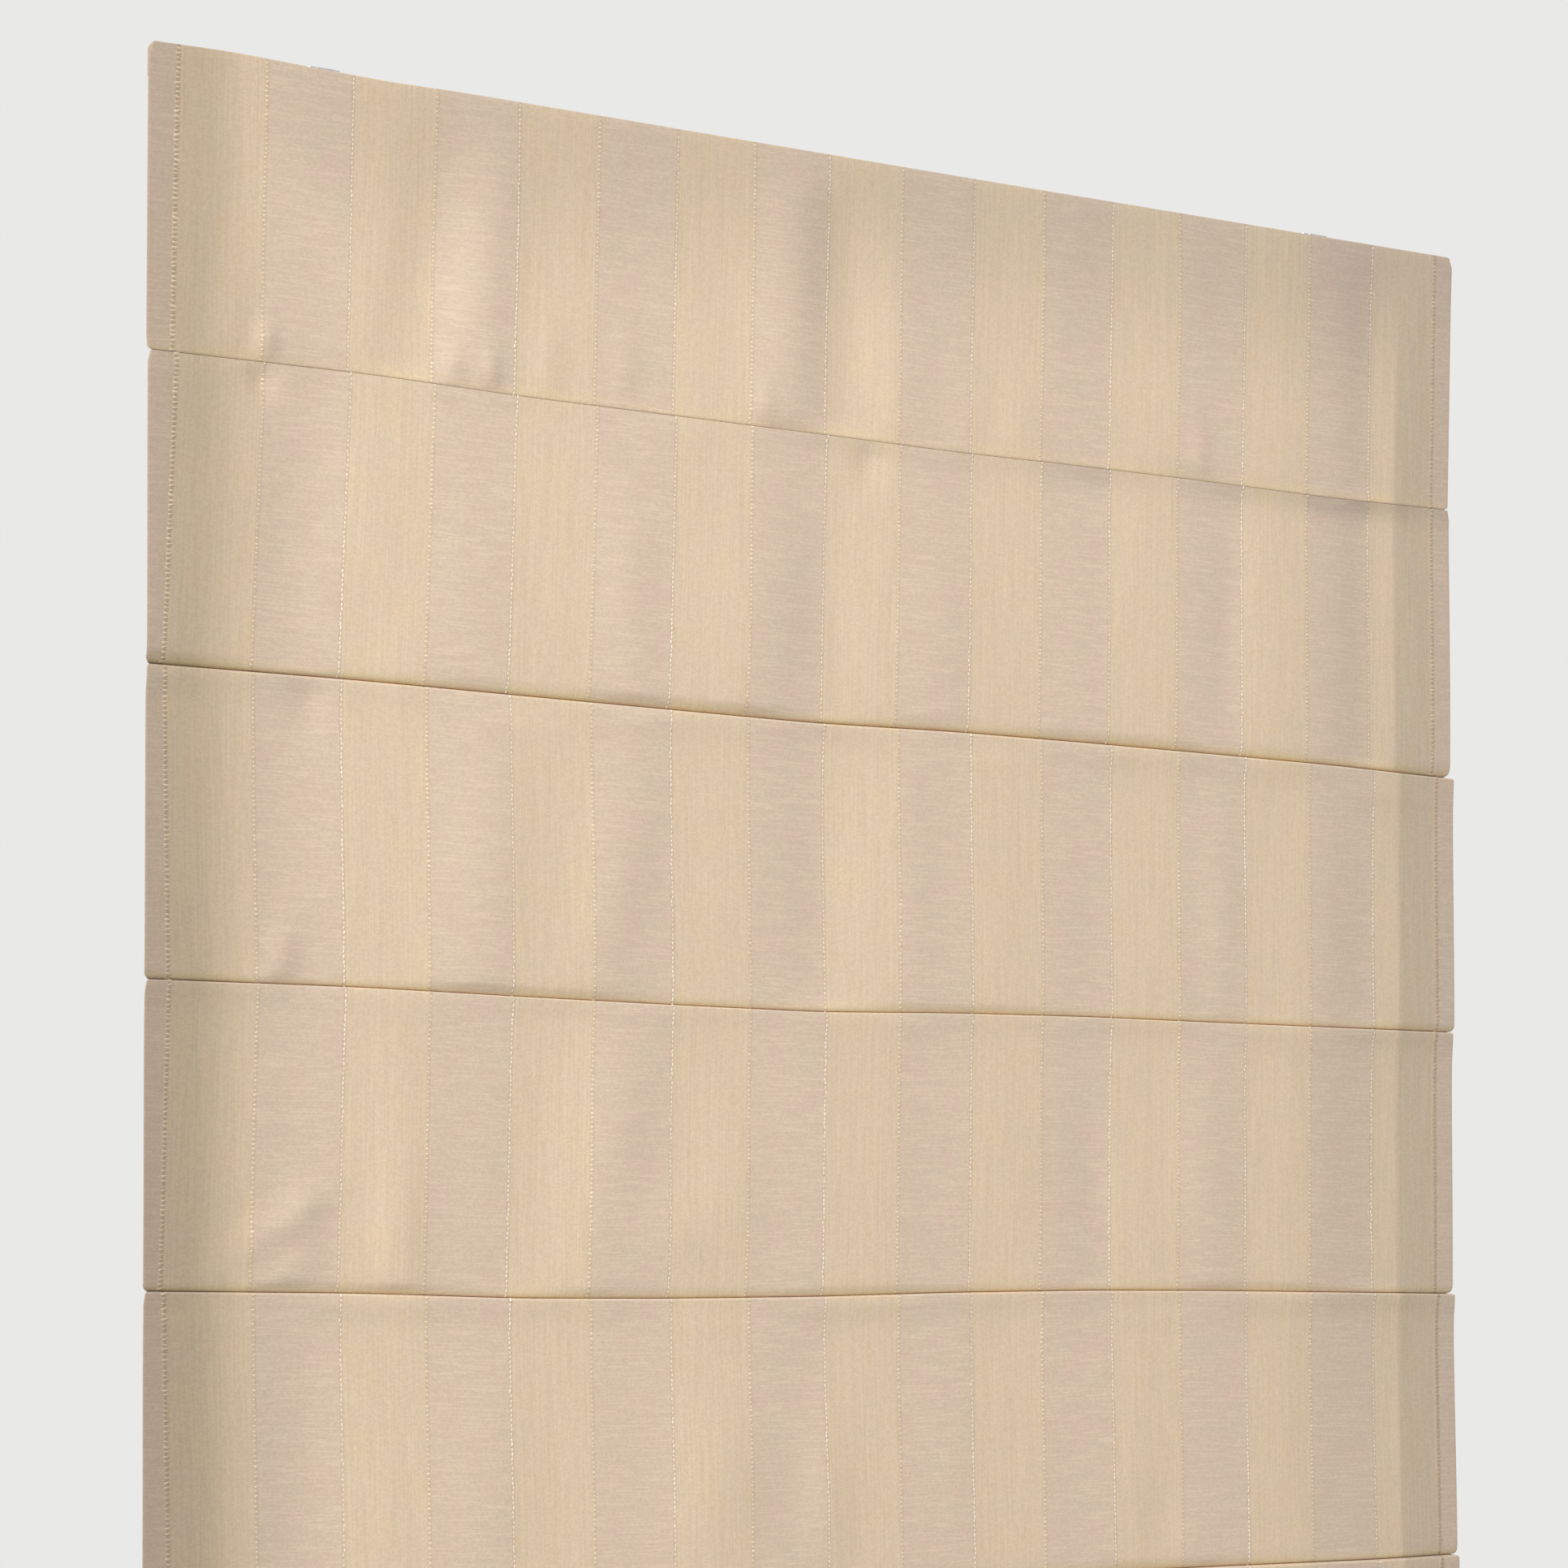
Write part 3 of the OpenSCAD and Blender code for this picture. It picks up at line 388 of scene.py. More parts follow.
level = section[:, 1]
inset = np.max([corner_inset(np.abs(level - s), panel_corner) for s in seams[1:-1]], axis=0)
inset = np.maximum(inset, corner_inset(top_z - cloth_t / 2 - level, top_corner))
inset = np.maximum(inset, corner_inset(level - foot_z - cloth_t / 2, foot_corner))
zone_start = half_w - edge_zone
squeeze = np.clip((np.abs(col_x) - zone_start) / edge_zone, 0, 1) * np.sign(col_x)
normal = inward(section)
face_points = np.empty(grid_x.shape + (3,))
face_points[..., 0] = col_x - inset[:, None] * squeeze + lean
face_points[..., 1] = section[:, :1] + normal[:, :1] * col_depth - rise
face_points[..., 2] = section[:, 1:] + normal[:, 1:] * col_depth - sag
print("face cloth", face_points.shape, "points")

# %% Sheet maker
def grid_quads(index):
    """The quads of a grid of point numbers."""
    corners = [index[:-1, :-1], index[1:, :-1], index[1:, 1:], index[:-1, 1:]]
    return np.stack(corners, axis=-1).reshape(-1, 4)


def smooth_piece(name, points, quads):
    """A smooth mesh of quads that rides on the blind."""
    mesh = bpy.data.meshes.new(name)
    mesh.from_pydata(points.reshape(-1, 3).tolist(), [], quads.tolist())
    mesh.polygons.foreach_set("use_smooth", np.ones(len(quads), bool))
    piece = bpy.data.objects.new(name, mesh)
    bpy.context.scene.collection.objects.link(piece)
    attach(piece, "blind")
    return piece


def sheet_piece(name, points, u, v):
    """A one-layer mesh from a grid of points, with the distance along the cloth as its UV map."""
    row_count, col_count = points.shape[:2]
    quads = grid_quads(np.arange(row_count * col_count).reshape(row_count, col_count))
    piece = smooth_piece(name, points, quads)
    flat = np.stack(np.broadcast_arrays(u[None, :], v[:, None]), axis=-1).reshape(-1, 2)
    piece.data.uv_layers.new(name="cloth").data.foreach_set("uv", flat[quads.ravel()].ravel())
    return piece


face_cloth = sheet_piece("face_cloth", face_points, col_u, row_v)
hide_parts("face_fabric")
print("face cloth", len(face_cloth.data.polygons), "quads")

# %% [markdown]
# In a seam, light goes from cloth to cloth before it comes out, and takes on more of the cloth's own gold
# each time. Few bounces of a path tracer catch that, so each point keeps a number for how deep it lies in
# a fold, and the finish paints that bounce light in as a warmer tone.

# %% Depth in the folds
fold_reach = 12 * mm
full_fold = 0.7
least_fold = 0.5
fold_depth = np.zeros(len(section))
for k in range(1, panels):
    above_seam = (station > 2 * k - 2) & (station < 2 * k)
    nearness = ease(1 - np.abs(section[:, 1] - seams[k]) / fold_reach) ** 2
    fold_depth += above_seam * nearness * np.clip(seam_share[k - 1] / full_fold, least_fold, 1)
fold_of_point = np.repeat(fold_depth, len(col_x))
face_cloth.data.attributes.new("fold", "FLOAT", "POINT").data.foreach_set("value", fold_of_point)
print(int((fold_depth > 0.5).sum()), "rows lie deep in a fold")

# %% [markdown]
# Right under the first seam the cloth sinks back, and there the plain stripes look grey: the lamp reaches
# them at a low angle, and each thick thread shades the next. A path tracer sees no threads, so this shade
# is painted: each point keeps how deep it lies in the hollow as a second number, and the finish greys the
# colour by it.

# %% Painted grey shade in the hollows under the first seam
hollow_middle = 5 * mm
hollow_half = 13 * mm
deepest = max(depth for place, depth in sink_depth) * mm
in_hollow = np.exp(-((under_first - hollow_middle) / hollow_half) ** 2) * ((station >= 2) & (station < 3))
hollow = in_hollow[:, None] * smooth_run(sink_depth, col_x) / deepest
face_cloth.data.attributes.new("hollow", "FLOAT", "POINT").data.foreach_set("value", hollow.ravel())
print("hollows reach", round(float(hollow.max()), 2))

# %% [markdown]
# ## Open-work lines
# Between each two stripes runs a ladder of short raised bars, where threads are drawn together.
# They could be a bump in the cloth's finish, but they catch the light and have tiny shadows, so
# each bar is a low mound of its own. One helper makes mounds from arrays of centres and directions,
# and the lining's stitches use it again.

# %% Places on the cloth
front_u = col_u[front_cols]
front_points = face_points[:, front_cols]


def cloth_at(u, v):
    """Points on the front of the face cloth at distances u across and v down the uncut cloth."""
    col = np.interp(u, front_u, np.arange(len(front_u)))
    row = np.interp(v, row_v, np.arange(len(row_v)))
    left = np.clip(col.astype(int), 0, len(front_u) - 2)
    top = np.clip(row.astype(int), 0, len(row_v) - 2)
    right_share = (col - left)[..., None]
    lower_share = (row - top)[..., None]
    upper = front_points[top, left] * (1 - right_share) + front_points[top, left + 1] * right_share
    lower = front_points[top + 1, left] * (1 - right_share) + front_points[top + 1, left + 1] * right_share
    return upper * (1 - lower_share) + lower * lower_share


def unit(vectors):
    """Vectors scaled to length one."""
    return vectors / np.linalg.norm(vectors, axis=-1, keepdims=True)


def cloth_frame(u, v, reach):
    """Points on the cloth with their directions across, down and out."""
    across_dir = unit(cloth_at(u + reach, v) - cloth_at(u - reach, v))
    down_dir = unit(cloth_at(u, v + reach) - cloth_at(u, v - reach))
    out_dir = unit(np.cross(down_dir, across_dir))
    return cloth_at(u, v), across_dir, down_dir, out_dir


print("the front of the cloth is", round(float(front_u[-1] - front_u[0]), 3), "m wide")

# %% Mound maker
mound_along = np.array([-1, -0.55, 0.55, 1])
mound_height = np.array([-0.25, 1, 1, -0.25])
mound_side = len(mound_along)
mound_points = mound_side ** 2
mound_quads = grid_quads(np.arange(mound_points).reshape(mound_side, mound_side))


def mounds_piece(name, centres, along, beside, out, half_l, half_b, height):
    """Low rounded mounds, one for each centre, in one mesh."""
    ahead = mound_along[None, :, None, None] * half_l[:, None, None, None] * along[:, None, None, :]
    aside = mound_along[None, None, :, None] * half_b[:, None, None, None] * beside[:, None, None, :]
    shape = np.minimum.outer(mound_height, mound_height)
    lift = shape[None, :, :, None] * height[:, None, None, None] * out[:, None, None, :]
    points = centres[:, None, None, :] + ahead + aside + lift
    first_point = mound_points * np.arange(len(centres))[:, None, None]
    return smooth_piece(name, points, (mound_quads[None] + first_point).reshape(-1, 4))


print("a mound has", len(mound_quads), "quads")

# %% Open-work maker
stripe_w = 69.24 * mm
first_line = -586.8 * mm
line_count = 18
bar_pitch = 3.6 * mm
bar_margin = 4 * mm
down_jitter, across_jitter, tilt_jitter = 0.25 * mm, 0.22 * mm, 0.16
size_range = 0.75, 1.15
lift_range = 0.6, 1.2
faded_size = 0.4
# Each wave along a line: strength, metres for one radian, shift from line to line in radians
fade_waves = ((1, 0.131, 1.7), (0.8, 0.047, 2.9))
fade_middle, fade_swing = 0.5, 0.45
frame_reach = 0.6 * mm
ladder_lines = first_line + stripe_w * np.arange(line_count)
bar_v = np.arange(bar_margin, row_v[foot_row] - bar_margin, bar_pitch)
dice = np.random.default_rng(7)


def open_work(name, lines, half_across, half_down, lift, fading):
    """Bars down some of the lines; where they fade, they get smaller and sink into the cloth."""
    line_of_bar, place = (grid.ravel() for grid in np.meshgrid(lines, bar_v, indexing="ij"))
    count = len(place)
    wave = sum(strength * np.sin(place / reach + shift * line_of_bar)
               for strength, reach, shift in fade_waves)
    shown = 1 - fading * np.clip(fade_middle - fade_swing * wave, 0, 1)
    place = place + dice.normal(0, down_jitter, count)
    u = ladder_lines[line_of_bar] + dice.normal(0, across_jitter, count)
    at, across_dir, down_dir, out_dir = cloth_frame(u, place, frame_reach)
    tilt = dice.normal(0, tilt_jitter, count)[:, None]
    along = unit(across_dir + down_dir * tilt)
    beside = unit(down_dir - across_dir * tilt)
    size = dice.uniform(*size_range, count) * (faded_size + (1 - faded_size) * shown)
    height = lift * shown * dice.uniform(*lift_range, count)
    piece = mounds_piece(name, at, along, beside, out_dir, half_across * size, half_down * size, height)
    return piece


print(line_count, "lines with", len(bar_v), "bars each")

# %% [markdown]
# The lines are not alike. The two outermost have wide bars with open gaps. On the left side of each cream
# stripe the bars stand almost end to end and are near white, a painted highlight for the light that their
# raised threads catch, bright for a hand's length and faint for the next. On its right side they are a
# dull gold.

# %% Ladders and pale bars
outer_bars = open_work("outer_bars", (0, line_count - 1), half_across=2.4 * mm, half_down=0.9 * mm,
                       lift=0.4 * mm, fading=0.2)
gold_bars = open_work("gold_bars", range(1, line_count - 1, 2), half_across=1.4 * mm, half_down=0.8 * mm,
                      lift=0.25 * mm, fading=0.35)
pale_highlight_bars = open_work("pale_highlight_bars", range(2, line_count - 1, 2), half_across=0.8 * mm, half_down=1.4 * mm,
                      lift=0.3 * mm, fading=0.45)

# %% [markdown]
# ## Lining
# Behind the face hangs a pale lining, set in from the sides. At each seam it is folded back into a
# narrow pocket that holds a batten. Its section is again a line of arcs and straights, taken from
# where the battens lie, and its sides are turned under towards the face so that no raw edge shows
# from behind.

# %% Section of the lining
lining_t = 0.5 * mm
pocket_reach = 18 * mm
pocket_mouth = 0.6 * mm
lining_tuck = 10 * mm
lining_ease = 30 * mm
loop_steps, flank_steps, drop_steps, last_drop_steps, tuck_steps = 14, 4, 18, 14, 3
batten_r = (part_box(battens[0])[1].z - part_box(battens[0])[0].z) / 2
pocket_r = batten_r + layer_gap + lining_t / 2
batten_at = [[(a + b) / 2 for a, b in zip(*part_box(name))] for name in battens]
lining_y = batten_at[0][1] - pocket_reach
lining_top_y = top_hem_y - cloth_t / 2 - layer_gap - lining_t / 2
lining_foot_y = foot_hem_y - cloth_t / 2 - layer_gap - lining_t / 2
rail_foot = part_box("headrail")[0].z
drop_start = rail_foot - lining_tuck
hem_edge = foot_z + bottom_hem


def pocket_stretch(k):
    """Pocket k: back along its upper side, round the batten and forward along its lower side."""
    y, z = batten_at[k - 1][1:]
    away = np.array([lining_y - y, seams[k] - z])
    middle = math.degrees(math.atan2(away[1], away[0]))
    spread = math.degrees(math.acos(pocket_r / np.linalg.norm(away)))
    loop = oval(y, z, pocket_r, pocket_r, middle - spread, middle + spread - 360, loop_steps)
    upper = line(lining_y, seams[k] + pocket_mouth, loop[0][0], loop[0][1], flank_steps)
    lower = line(loop[-1][0], loop[-1][1], lining_y, seams[k] - pocket_mouth, flank_steps)[1:]
    return [upper, loop, lower]


lining_parts = [line(lining_top_y, fold_z - lining_tuck, lining_top_y, drop_start, flank_steps)]
lining_parts += [line(lining_top_y, drop_start, lining_y, drop_start - lining_ease, flank_steps)]
above = drop_start - lining_ease
for k in range(1, panels):
    lining_parts += [line(lining_y, above, lining_y, seams[k] + pocket_mouth, drop_steps)]
    lining_parts += pocket_stretch(k)
    above = seams[k] - pocket_mouth
lining_parts += [line(lining_y, above, lining_y, hem_edge + lining_ease, last_drop_steps)]
hem_top = hem_edge + layer_gap
lining_parts += [line(lining_y, hem_edge + lining_ease, lining_foot_y, hem_top, flank_steps)]
lining_parts += [line(lining_foot_y, hem_top, lining_foot_y, hem_edge - lining_tuck, tuck_steps)]
lining_section = np.concatenate(lining_parts)
lining_steps = np.linalg.norm(np.diff(lining_section, axis=0), axis=1)
lining_v = np.concatenate([[0], np.cumsum(lining_steps)])
print("lining section:", len(lining_section), "points,", round(float(lining_v[-1]), 3), "m long")

# %% Lining
lining_hem = 12 * mm
lining_turn_r = 0.3 * mm
lining_step = 9 * mm
lining_zone = 10 * mm
slack_start, slack_reach = 10 * mm, 60 * mm
level_with_drop = 0.1 * mm
# Each wave: height in millimetres, wavelength in metres, shift from panel to panel in wavelengths
billow_waves = ((1.4, 0.31, 0.37), (0.7, 0.117, 0.21))
lining_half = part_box("lining")[1].x
lining_columns = sheet_columns(lining_half, lining_hem, lining_turn_r, lining_step, lining_zone)
lining_x, lining_depth, lining_u = lining_columns[:3]
lining_normal = inward(lining_section)
holds = [*seams[1:-1], drop_start, hem_edge]
held = np.array([min(abs(z - s) for s in holds) for z in lining_section[:, 1]])
slack = ease((held - slack_start) / slack_reach)
slack *= np.abs(lining_section[:, 0] - lining_y) < level_with_drop
panel_number = np.searchsorted(-np.array(seams), -lining_section[:, 1])[:, None]
billow = sum(height * np.sin(2 * math.pi * (lining_x / wave + shift * panel_number))
             for height, wave, shift in billow_waves)
billow = billow * slack[:, None] * mm
lining_points = np.empty((len(lining_section), len(lining_x), 3))
lining_points[..., 0] = lining_x
lining_points[..., 1] = lining_section[:, :1] - lining_normal[:, :1] * lining_depth + billow
lining_points[..., 2] = lining_section[:, 1:] - lining_normal[:, 1:] * lining_depth
lining = sheet_piece("lining_cloth", lining_points, lining_u, lining_v)
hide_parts("lining")
print("lining", len(lining.data.polygons), "quads")

# %% [markdown]
# ## Stitches of the lining
# From behind, the sewing is what tells a made blind from a folded sheet: a row of machine stitches
# above and below each pocket's mouth, a row down each turned side, and hand stitches along the
# bottom hem. All of them are mounds again, longer and thinner than the ladder bars.

# %% Stitch rows
stitch_l = 2.8 * mm
stitch_pitch = 3.5 * mm
stitch_half = 0.28 * mm
stitch_lift = 0.3 * mm
pocket_row, pocket_row_end = 0.2, 2 * mm


def stitch_row(start, end, out, pitch=stitch_pitch, size=stitch_l):
    """Centres and directions of a straight row of stitches from start to end."""
    start, end, out = (np.array(p, float) for p in (start, end, out))
    span = np.linalg.norm(end - start)
    count = max(1, int(span / pitch))
    share = (np.arange(count) + 0.5) / count
    centres = start + (end - start) * share[:, None]
    along = np.broadcast_to((end - start) / span, centres.shape)
    outs = np.broadcast_to(out / np.linalg.norm(out), centres.shape)
    return centres, along, outs, np.full(count, size / 2)


def pocket_rows(k):
    """One row on the upper and one on the lower side of pocket k, a little behind its mouth."""
    y, z = batten_at[k - 1][1:]
    rows = []
    for side in (1, -1):
        near = np.array([lining_y, seams[k] + side * pocket_mouth])
        far = np.array([y, z + side * pocket_r])
        at = near + (far - near) * pocket_row
        slope = (far - near) / np.linalg.norm(far - near)
        out = np.array([-slope[1], slope[0]]) * side
        at = at + out * lining_t / 2
        row_x = lining_half - pocket_row_end
        ends = [(x, at[0], at[1]) for x in (-row_x, row_x)]
        rows.append(stitch_row(*ends, (0, out[0], out[1])))
    return rows


stitch_rows = [row for k in range(1, panels) for row in pocket_rows(k)]
print(len(stitch_rows), "rows along the pockets")

# %% Stitches
side_row, side_pitch, side_row_end = 9 * mm, 7 * mm, 3 * mm
hem_row, hem_pitch, hem_row_end = 4 * mm, 8 * mm, 3 * mm
hem_stitch_l = 2 * mm
hem_stitch_off = 0.1 * mm
side_line = lining_half - side_row
levels = [drop_start - lining_ease, *seams[1:-1], hem_edge + lining_ease]
for x in (-side_line, side_line):
    for upper, lower in zip(levels[:-1], levels[1:]):
        ends = [(x, lining_y + lining_t / 2, z) for z in (upper - side_row_end, lower + side_row_end)]
        stitch_rows.append(stitch_row(*ends, (0, 1, 0), pitch=side_pitch))
hem_row_z = hem_edge - hem_row
hem_back_y = foot_hem_y + hem_stitch_off
hem_ends = [(x, hem_back_y, hem_row_z) for x in (-half_w + hem_row_end, half_w - hem_row_end)]
stitch_rows.append(stitch_row(*hem_ends, (0, 1, 0), pitch=hem_pitch, size=hem_stitch_l))
centres, along, outs, halves = (np.concatenate(parts) for parts in zip(*stitch_rows))
beside = np.cross(outs, along)
stitches = mounds_piece("lining_stitches", centres, along, beside, outs, halves,
                        np.full(len(halves), stitch_half), np.full(len(halves), stitch_lift))
print(len(halves), "stitches in", len(stitch_rows), "rows")

# %% [markdown]
# Each cord ring is tied to its pocket with a few turns of thread. The turns are small closed tubes
# that go round the ring's wire and into the edge of the pocket, so the rings don't seem to float.

# %% Thread tube
def closed_tube(points, radius, sides):
    """Vertices and quads of a thin tube round a closed line of points."""
    ahead = unit(np.roll(points, -1, axis=0) - np.roll(points, 1, axis=0))
    middle = points.mean(axis=0)
    out = unit(points - middle)
    side = np.cross(ahead, out)
    angle = np.linspace(0, 2 * math.pi, sides, endpoint=False)[None, :, None]
    rings = points[:, None] + radius * (np.cos(angle) * out[:, None] + np.sin(angle) * side[:, None])
    count = len(points)
    i, j = np.meshgrid(np.arange(count), np.arange(sides), indexing="ij")
    next_i, next_j = (i + 1) % count, (j + 1) % sides
    corners = [i * sides + j, next_i * sides + j, next_i * sides + next_j, i * sides + next_j]
    return rings.reshape(-1, 3), np.stack(corners, axis=-1).reshape(-1, 4)


print("thread tube ready")

# %% Ring ties
wire_r = 1.2 * mm
thread_r = 0.22 * mm
thread_sides = 6
turns_per_ring = 5
turn_pitch = 0.5 * mm
turn_sway = 0.4
turn_points = 16
tie_depth = 2.3 * mm
turn_slack = 0.35 * mm
turn_sink = 0.5 * mm
turn_y = batten_at[0][1] + pocket_r + lining_t / 2 + layer_gap + wire_r - turn_sink
drums = [name for name in sorted(frame["nodes"]) if "cord_drum" in name]
cord_lines = [sum(corner.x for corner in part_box(name)) / 2 for name in drums]
last_angle = 360 - 360 / turn_points
round_turn = np.linspace(0, 2 * math.pi, turn_points, endpoint=False)
tie_vertices, tie_quads, total = [], [], 0
for x in cord_lines:
    for z in (place[2] for place in batten_at):
        for turn in range(turns_per_ring):
            step = (turn - (turns_per_ring - 1) / 2) * turn_pitch
            loop = oval(turn_y, z, tie_depth, wire_r + turn_slack, 0, last_angle, turn_points - 1)
            points = np.column_stack([x + step * (1 + turn_sway * np.sin(round_turn)), loop])
            vertices, tube_quads = closed_tube(points, thread_r, thread_sides)
            tie_vertices.append(vertices)
            tie_quads.append(tube_quads + total)
            total += len(vertices)
ring_ties = smooth_piece("ring_ties", np.concatenate(tie_vertices), np.concatenate(tie_quads))

# %% [markdown]
# ## Finishes
# Every finish is a small graph of nodes round one Principled shader. A few helpers keep the graphs
# short: they turn a screen colour into the linear colour that the shader wants, add a node and feed
# its inputs with numbers or other nodes, and name the steps and noises that come up often. Values
# that are the same all over a surface go straight into the shader's sockets.

# %% Helpers for finishes
def screen(red, green, blue):
    """Linear colour of an 8-bit screen colour."""
    shares = [c / 255 for c in (red, green, blue)]
    return tuple(s / 12.92 if s <= 0.04045 else ((s + 0.055) / 1.055) ** 2.4 for s in shares) + (1,)


def feed(tree, socket, value):
    """Gives an input a number, or joins it to another node."""
    if isinstance(value, bpy.types.NodeSocket):
        tree.links.new(value, socket)
    else:
        socket.default_value = value


def add(tree, kind, inputs, output=0, **settings):
    """A node of that kind with its inputs fed, by name or by number."""
    node = tree.nodes.new("ShaderNode" + kind)
    for key, value in settings.items():
        setattr(node, key, value)
    for key, value in inputs.items():
        feed(tree, node.inputs[key], value)
    return node.outputs[output]


def math_node(tree, operation, first, second=0.0):
    """A node of arithmetic on two values."""
    return add(tree, "Math", {0: first, 1: second}, operation=operation)


def mix(tree, share, first, second, mode="MIX"):
    """A mix of two colours."""
    return add(tree, "Mix", {0: share, 6: first, 7: second}, output=2, data_type="RGBA", blend_type=mode)


def step_up(tree, value, start, end, low=0.0, high=1.0):
    """A soft step from low to high as value goes from start to end."""
    inputs = {"Value": value, "From Min": start, "From Max": end, "To Min": low, "To Max": high}
    return add(tree, "MapRange", inputs, interpolation_type="SMOOTHSTEP")


def stretched_noise(tree, place, sizes, detail=2.0):
    """Noise whose grains have these sizes along each direction, in metres."""
    scaled = add(tree, "VectorMath", {0: place, 1: tuple(1 / s for s in sizes)}, operation="MULTIPLY")
    return add(tree, "TexNoise", {"Vector": scaled, "Scale": 1.0, "Detail": detail})


def new_finish(name, **sockets):
    """An empty finish and its shader, with some sockets set."""
    material = bpy.data.materials.new(name)
    material.use_nodes = True
    shader = material.node_tree.nodes["Principled BSDF"]
    for key, value in sockets.items():
        shader.inputs[key.replace("_", " ").title()].default_value = value
    return material, material.node_tree, shader


def relief(tree, shader, height, depth, strength=0.5):
    """A fine relief on the shader's normal."""
    bump = add(tree, "Bump", {"Height": height, "Distance": depth, "Strength": strength})
    feed(tree, shader.inputs["Normal"], bump)


print("finish helpers ready")

# %% [markdown]
# ## Striped cloth
# The cloth is woven in two ways. Cream stripes are a satin whose long threads run down the drop and
# give fine upright streaks and a soft gloss. Rose-beige stripes are a plain weave with thicker
# threads across, which show as level slubs. An image of the weave would blur from near by, so the
# threads are worked out from the UV map in metres: they lie side by side, and each gets a random
# tone for each dash of its run.

# %% Threads
def cloth_place(tree):
    """The place on the uncut cloth: the vector, and its distance across and down."""
    place = add(tree, "UVMap", {}, uv_map="cloth")
    parts = tree.nodes.new("ShaderNodeSeparateXYZ")
    feed(tree, parts.inputs[0], place)
    return place, parts.outputs[0], parts.outputs[1]


def thread_tones(tree, along, beside, thread, dash):
    """A random tone for each dash of thread, from 0 to 1."""
    row = math_node(tree, "FLOOR", math_node(tree, "DIVIDE", beside, thread))
    shift = add(tree, "TexWhiteNoise", {"W": row}, noise_dimensions="1D")
    cell = math_node(tree, "FLOOR", math_node(tree, "ADD", math_node(tree, "DIVIDE", along, dash), shift))
    spot = add(tree, "CombineXYZ", {0: row, 1: cell})
    return add(tree, "TexWhiteNoise", {"Vector": spot}, noise_dimensions="2D")


def toned(tree, colour, tone):
    """A colour made lighter or darker by a tone."""
    return mix(tree, 1.0, colour, add(tree, "CombineColor", {0: tone, 1: tone, 2: tone}), "MULTIPLY")


def tinted(tree, share, colour, tint):
    """A colour that is multiplied by a tint, as far as the share says."""
    return mix(tree, share, colour, mix(tree, 1.0, colour, tint, "MULTIPLY"))


print("thread helpers ready")

# %% [markdown]
# Where the hems lie behind the cloth, less light comes back through it, so those bands are painted a
# little darker. The top, the far right and the left hem towards the foot are painted darker too. The shade
# could be left to the lamps, but they don't know what lies behind a single layer, so the finish holds it
# as painted shade, in soft steps of the distance across and down. The yarns between the stripes use the
# same painted shade.

# %% Painted shade of the hems, top and sides
# Colours of the painted shade over the hems; the left one is a little deeper
hem_shade = (0.77, 0.78, 0.8, 1)
left_hem_shade = (0.79, 0.79, 0.785, 1)
hem_start = half_w - side_hem
right_hem_edge = hem_start - 7 * mm, hem_start + 5 * mm
right_hem_fold = hem_start + 36 * mm, hem_start + 42 * mm
left_hem_edge = -hem_start + 34 * mm, -hem_start - 26 * mm
left_side = -0.44, -0.53
left_growth = 0.3, 1.0
# Painted shade down from the top edge, and across towards the far right
top_shade = 14 * mm, 170 * mm
right_side = 0.4, 0.52
right_hem_depth, right_fold_light, right_side_depth = 1.12, 0.28, 0.42
left_hem_depth, left_side_depth, left_foot_depth = 1.1, 0.45, 1.3
top_shade_depth = 0.72


def painted_shade_tint(tree, across, down):
    """The painted shade of the cloth by its distance across and down."""
    right = math_node(tree, "SUBTRACT", step_up(tree, across, *right_hem_edge, 0.0, right_hem_depth),
                      step_up(tree, across, *right_hem_fold, 0.0, right_fold_light))
    left = math_node(tree, "ADD", step_up(tree, across, *left_hem_edge, 0.0, left_hem_depth),
                     step_up(tree, across, *left_side, 0.0, left_side_depth))
    left = math_node(tree, "MULTIPLY", left, step_up(tree, down, *left_growth, 1.0, left_foot_depth))
    top = math_node(tree, "ADD", step_up(tree, down, *top_shade, top_shade_depth, 0.0),
                    step_up(tree, across, *right_side, 0.0, right_side_depth))
    depth = math_node(tree, "MAXIMUM", math_node(tree, "MAXIMUM", right, left), top)
    full = mix(tree, math_node(tree, "LESS_THAN", across, 0.0), hem_shade, left_hem_shade)
    inputs = {0: depth, 6: (1, 1, 1, 1), 7: full}
    return add(tree, "Mix", inputs, output=2, data_type="RGBA", clamp_factor=False)


print("hems start", round(hem_start, 3), "m from the middle")

# %% [markdown]
# Both weaves share a fine grain and soft patches of two close colours. The ridges of the streaks
# and slubs also go into a fine relief.

# %% Weaves
satin = screen(227, 203, 172), screen(225, 203, 175)
plain = screen(222, 198, 176), screen(221, 200, 176)
noise_range = 0.3, 0.7
# Threads are given by their width and the length of a dash, noises by the size of a grain across and down
satin_thread, satin_tones = (0.9 * mm, 46 * mm), (0.968, 1.032)
plain_thread, plain_tones = (1.0 * mm, 18 * mm), (0.982, 1.06)
grain_thread, grain_tones = (1.4 * mm, 1.9 * mm), (-0.04, 0.04)
streak_size, streak_tones = (2.4 * mm, 160 * mm, 1), (-0.012, 0.012)
slub_size = (24 * mm, 1.1 * mm, 1)
patch_size = (22 * mm, 30 * mm, 1)


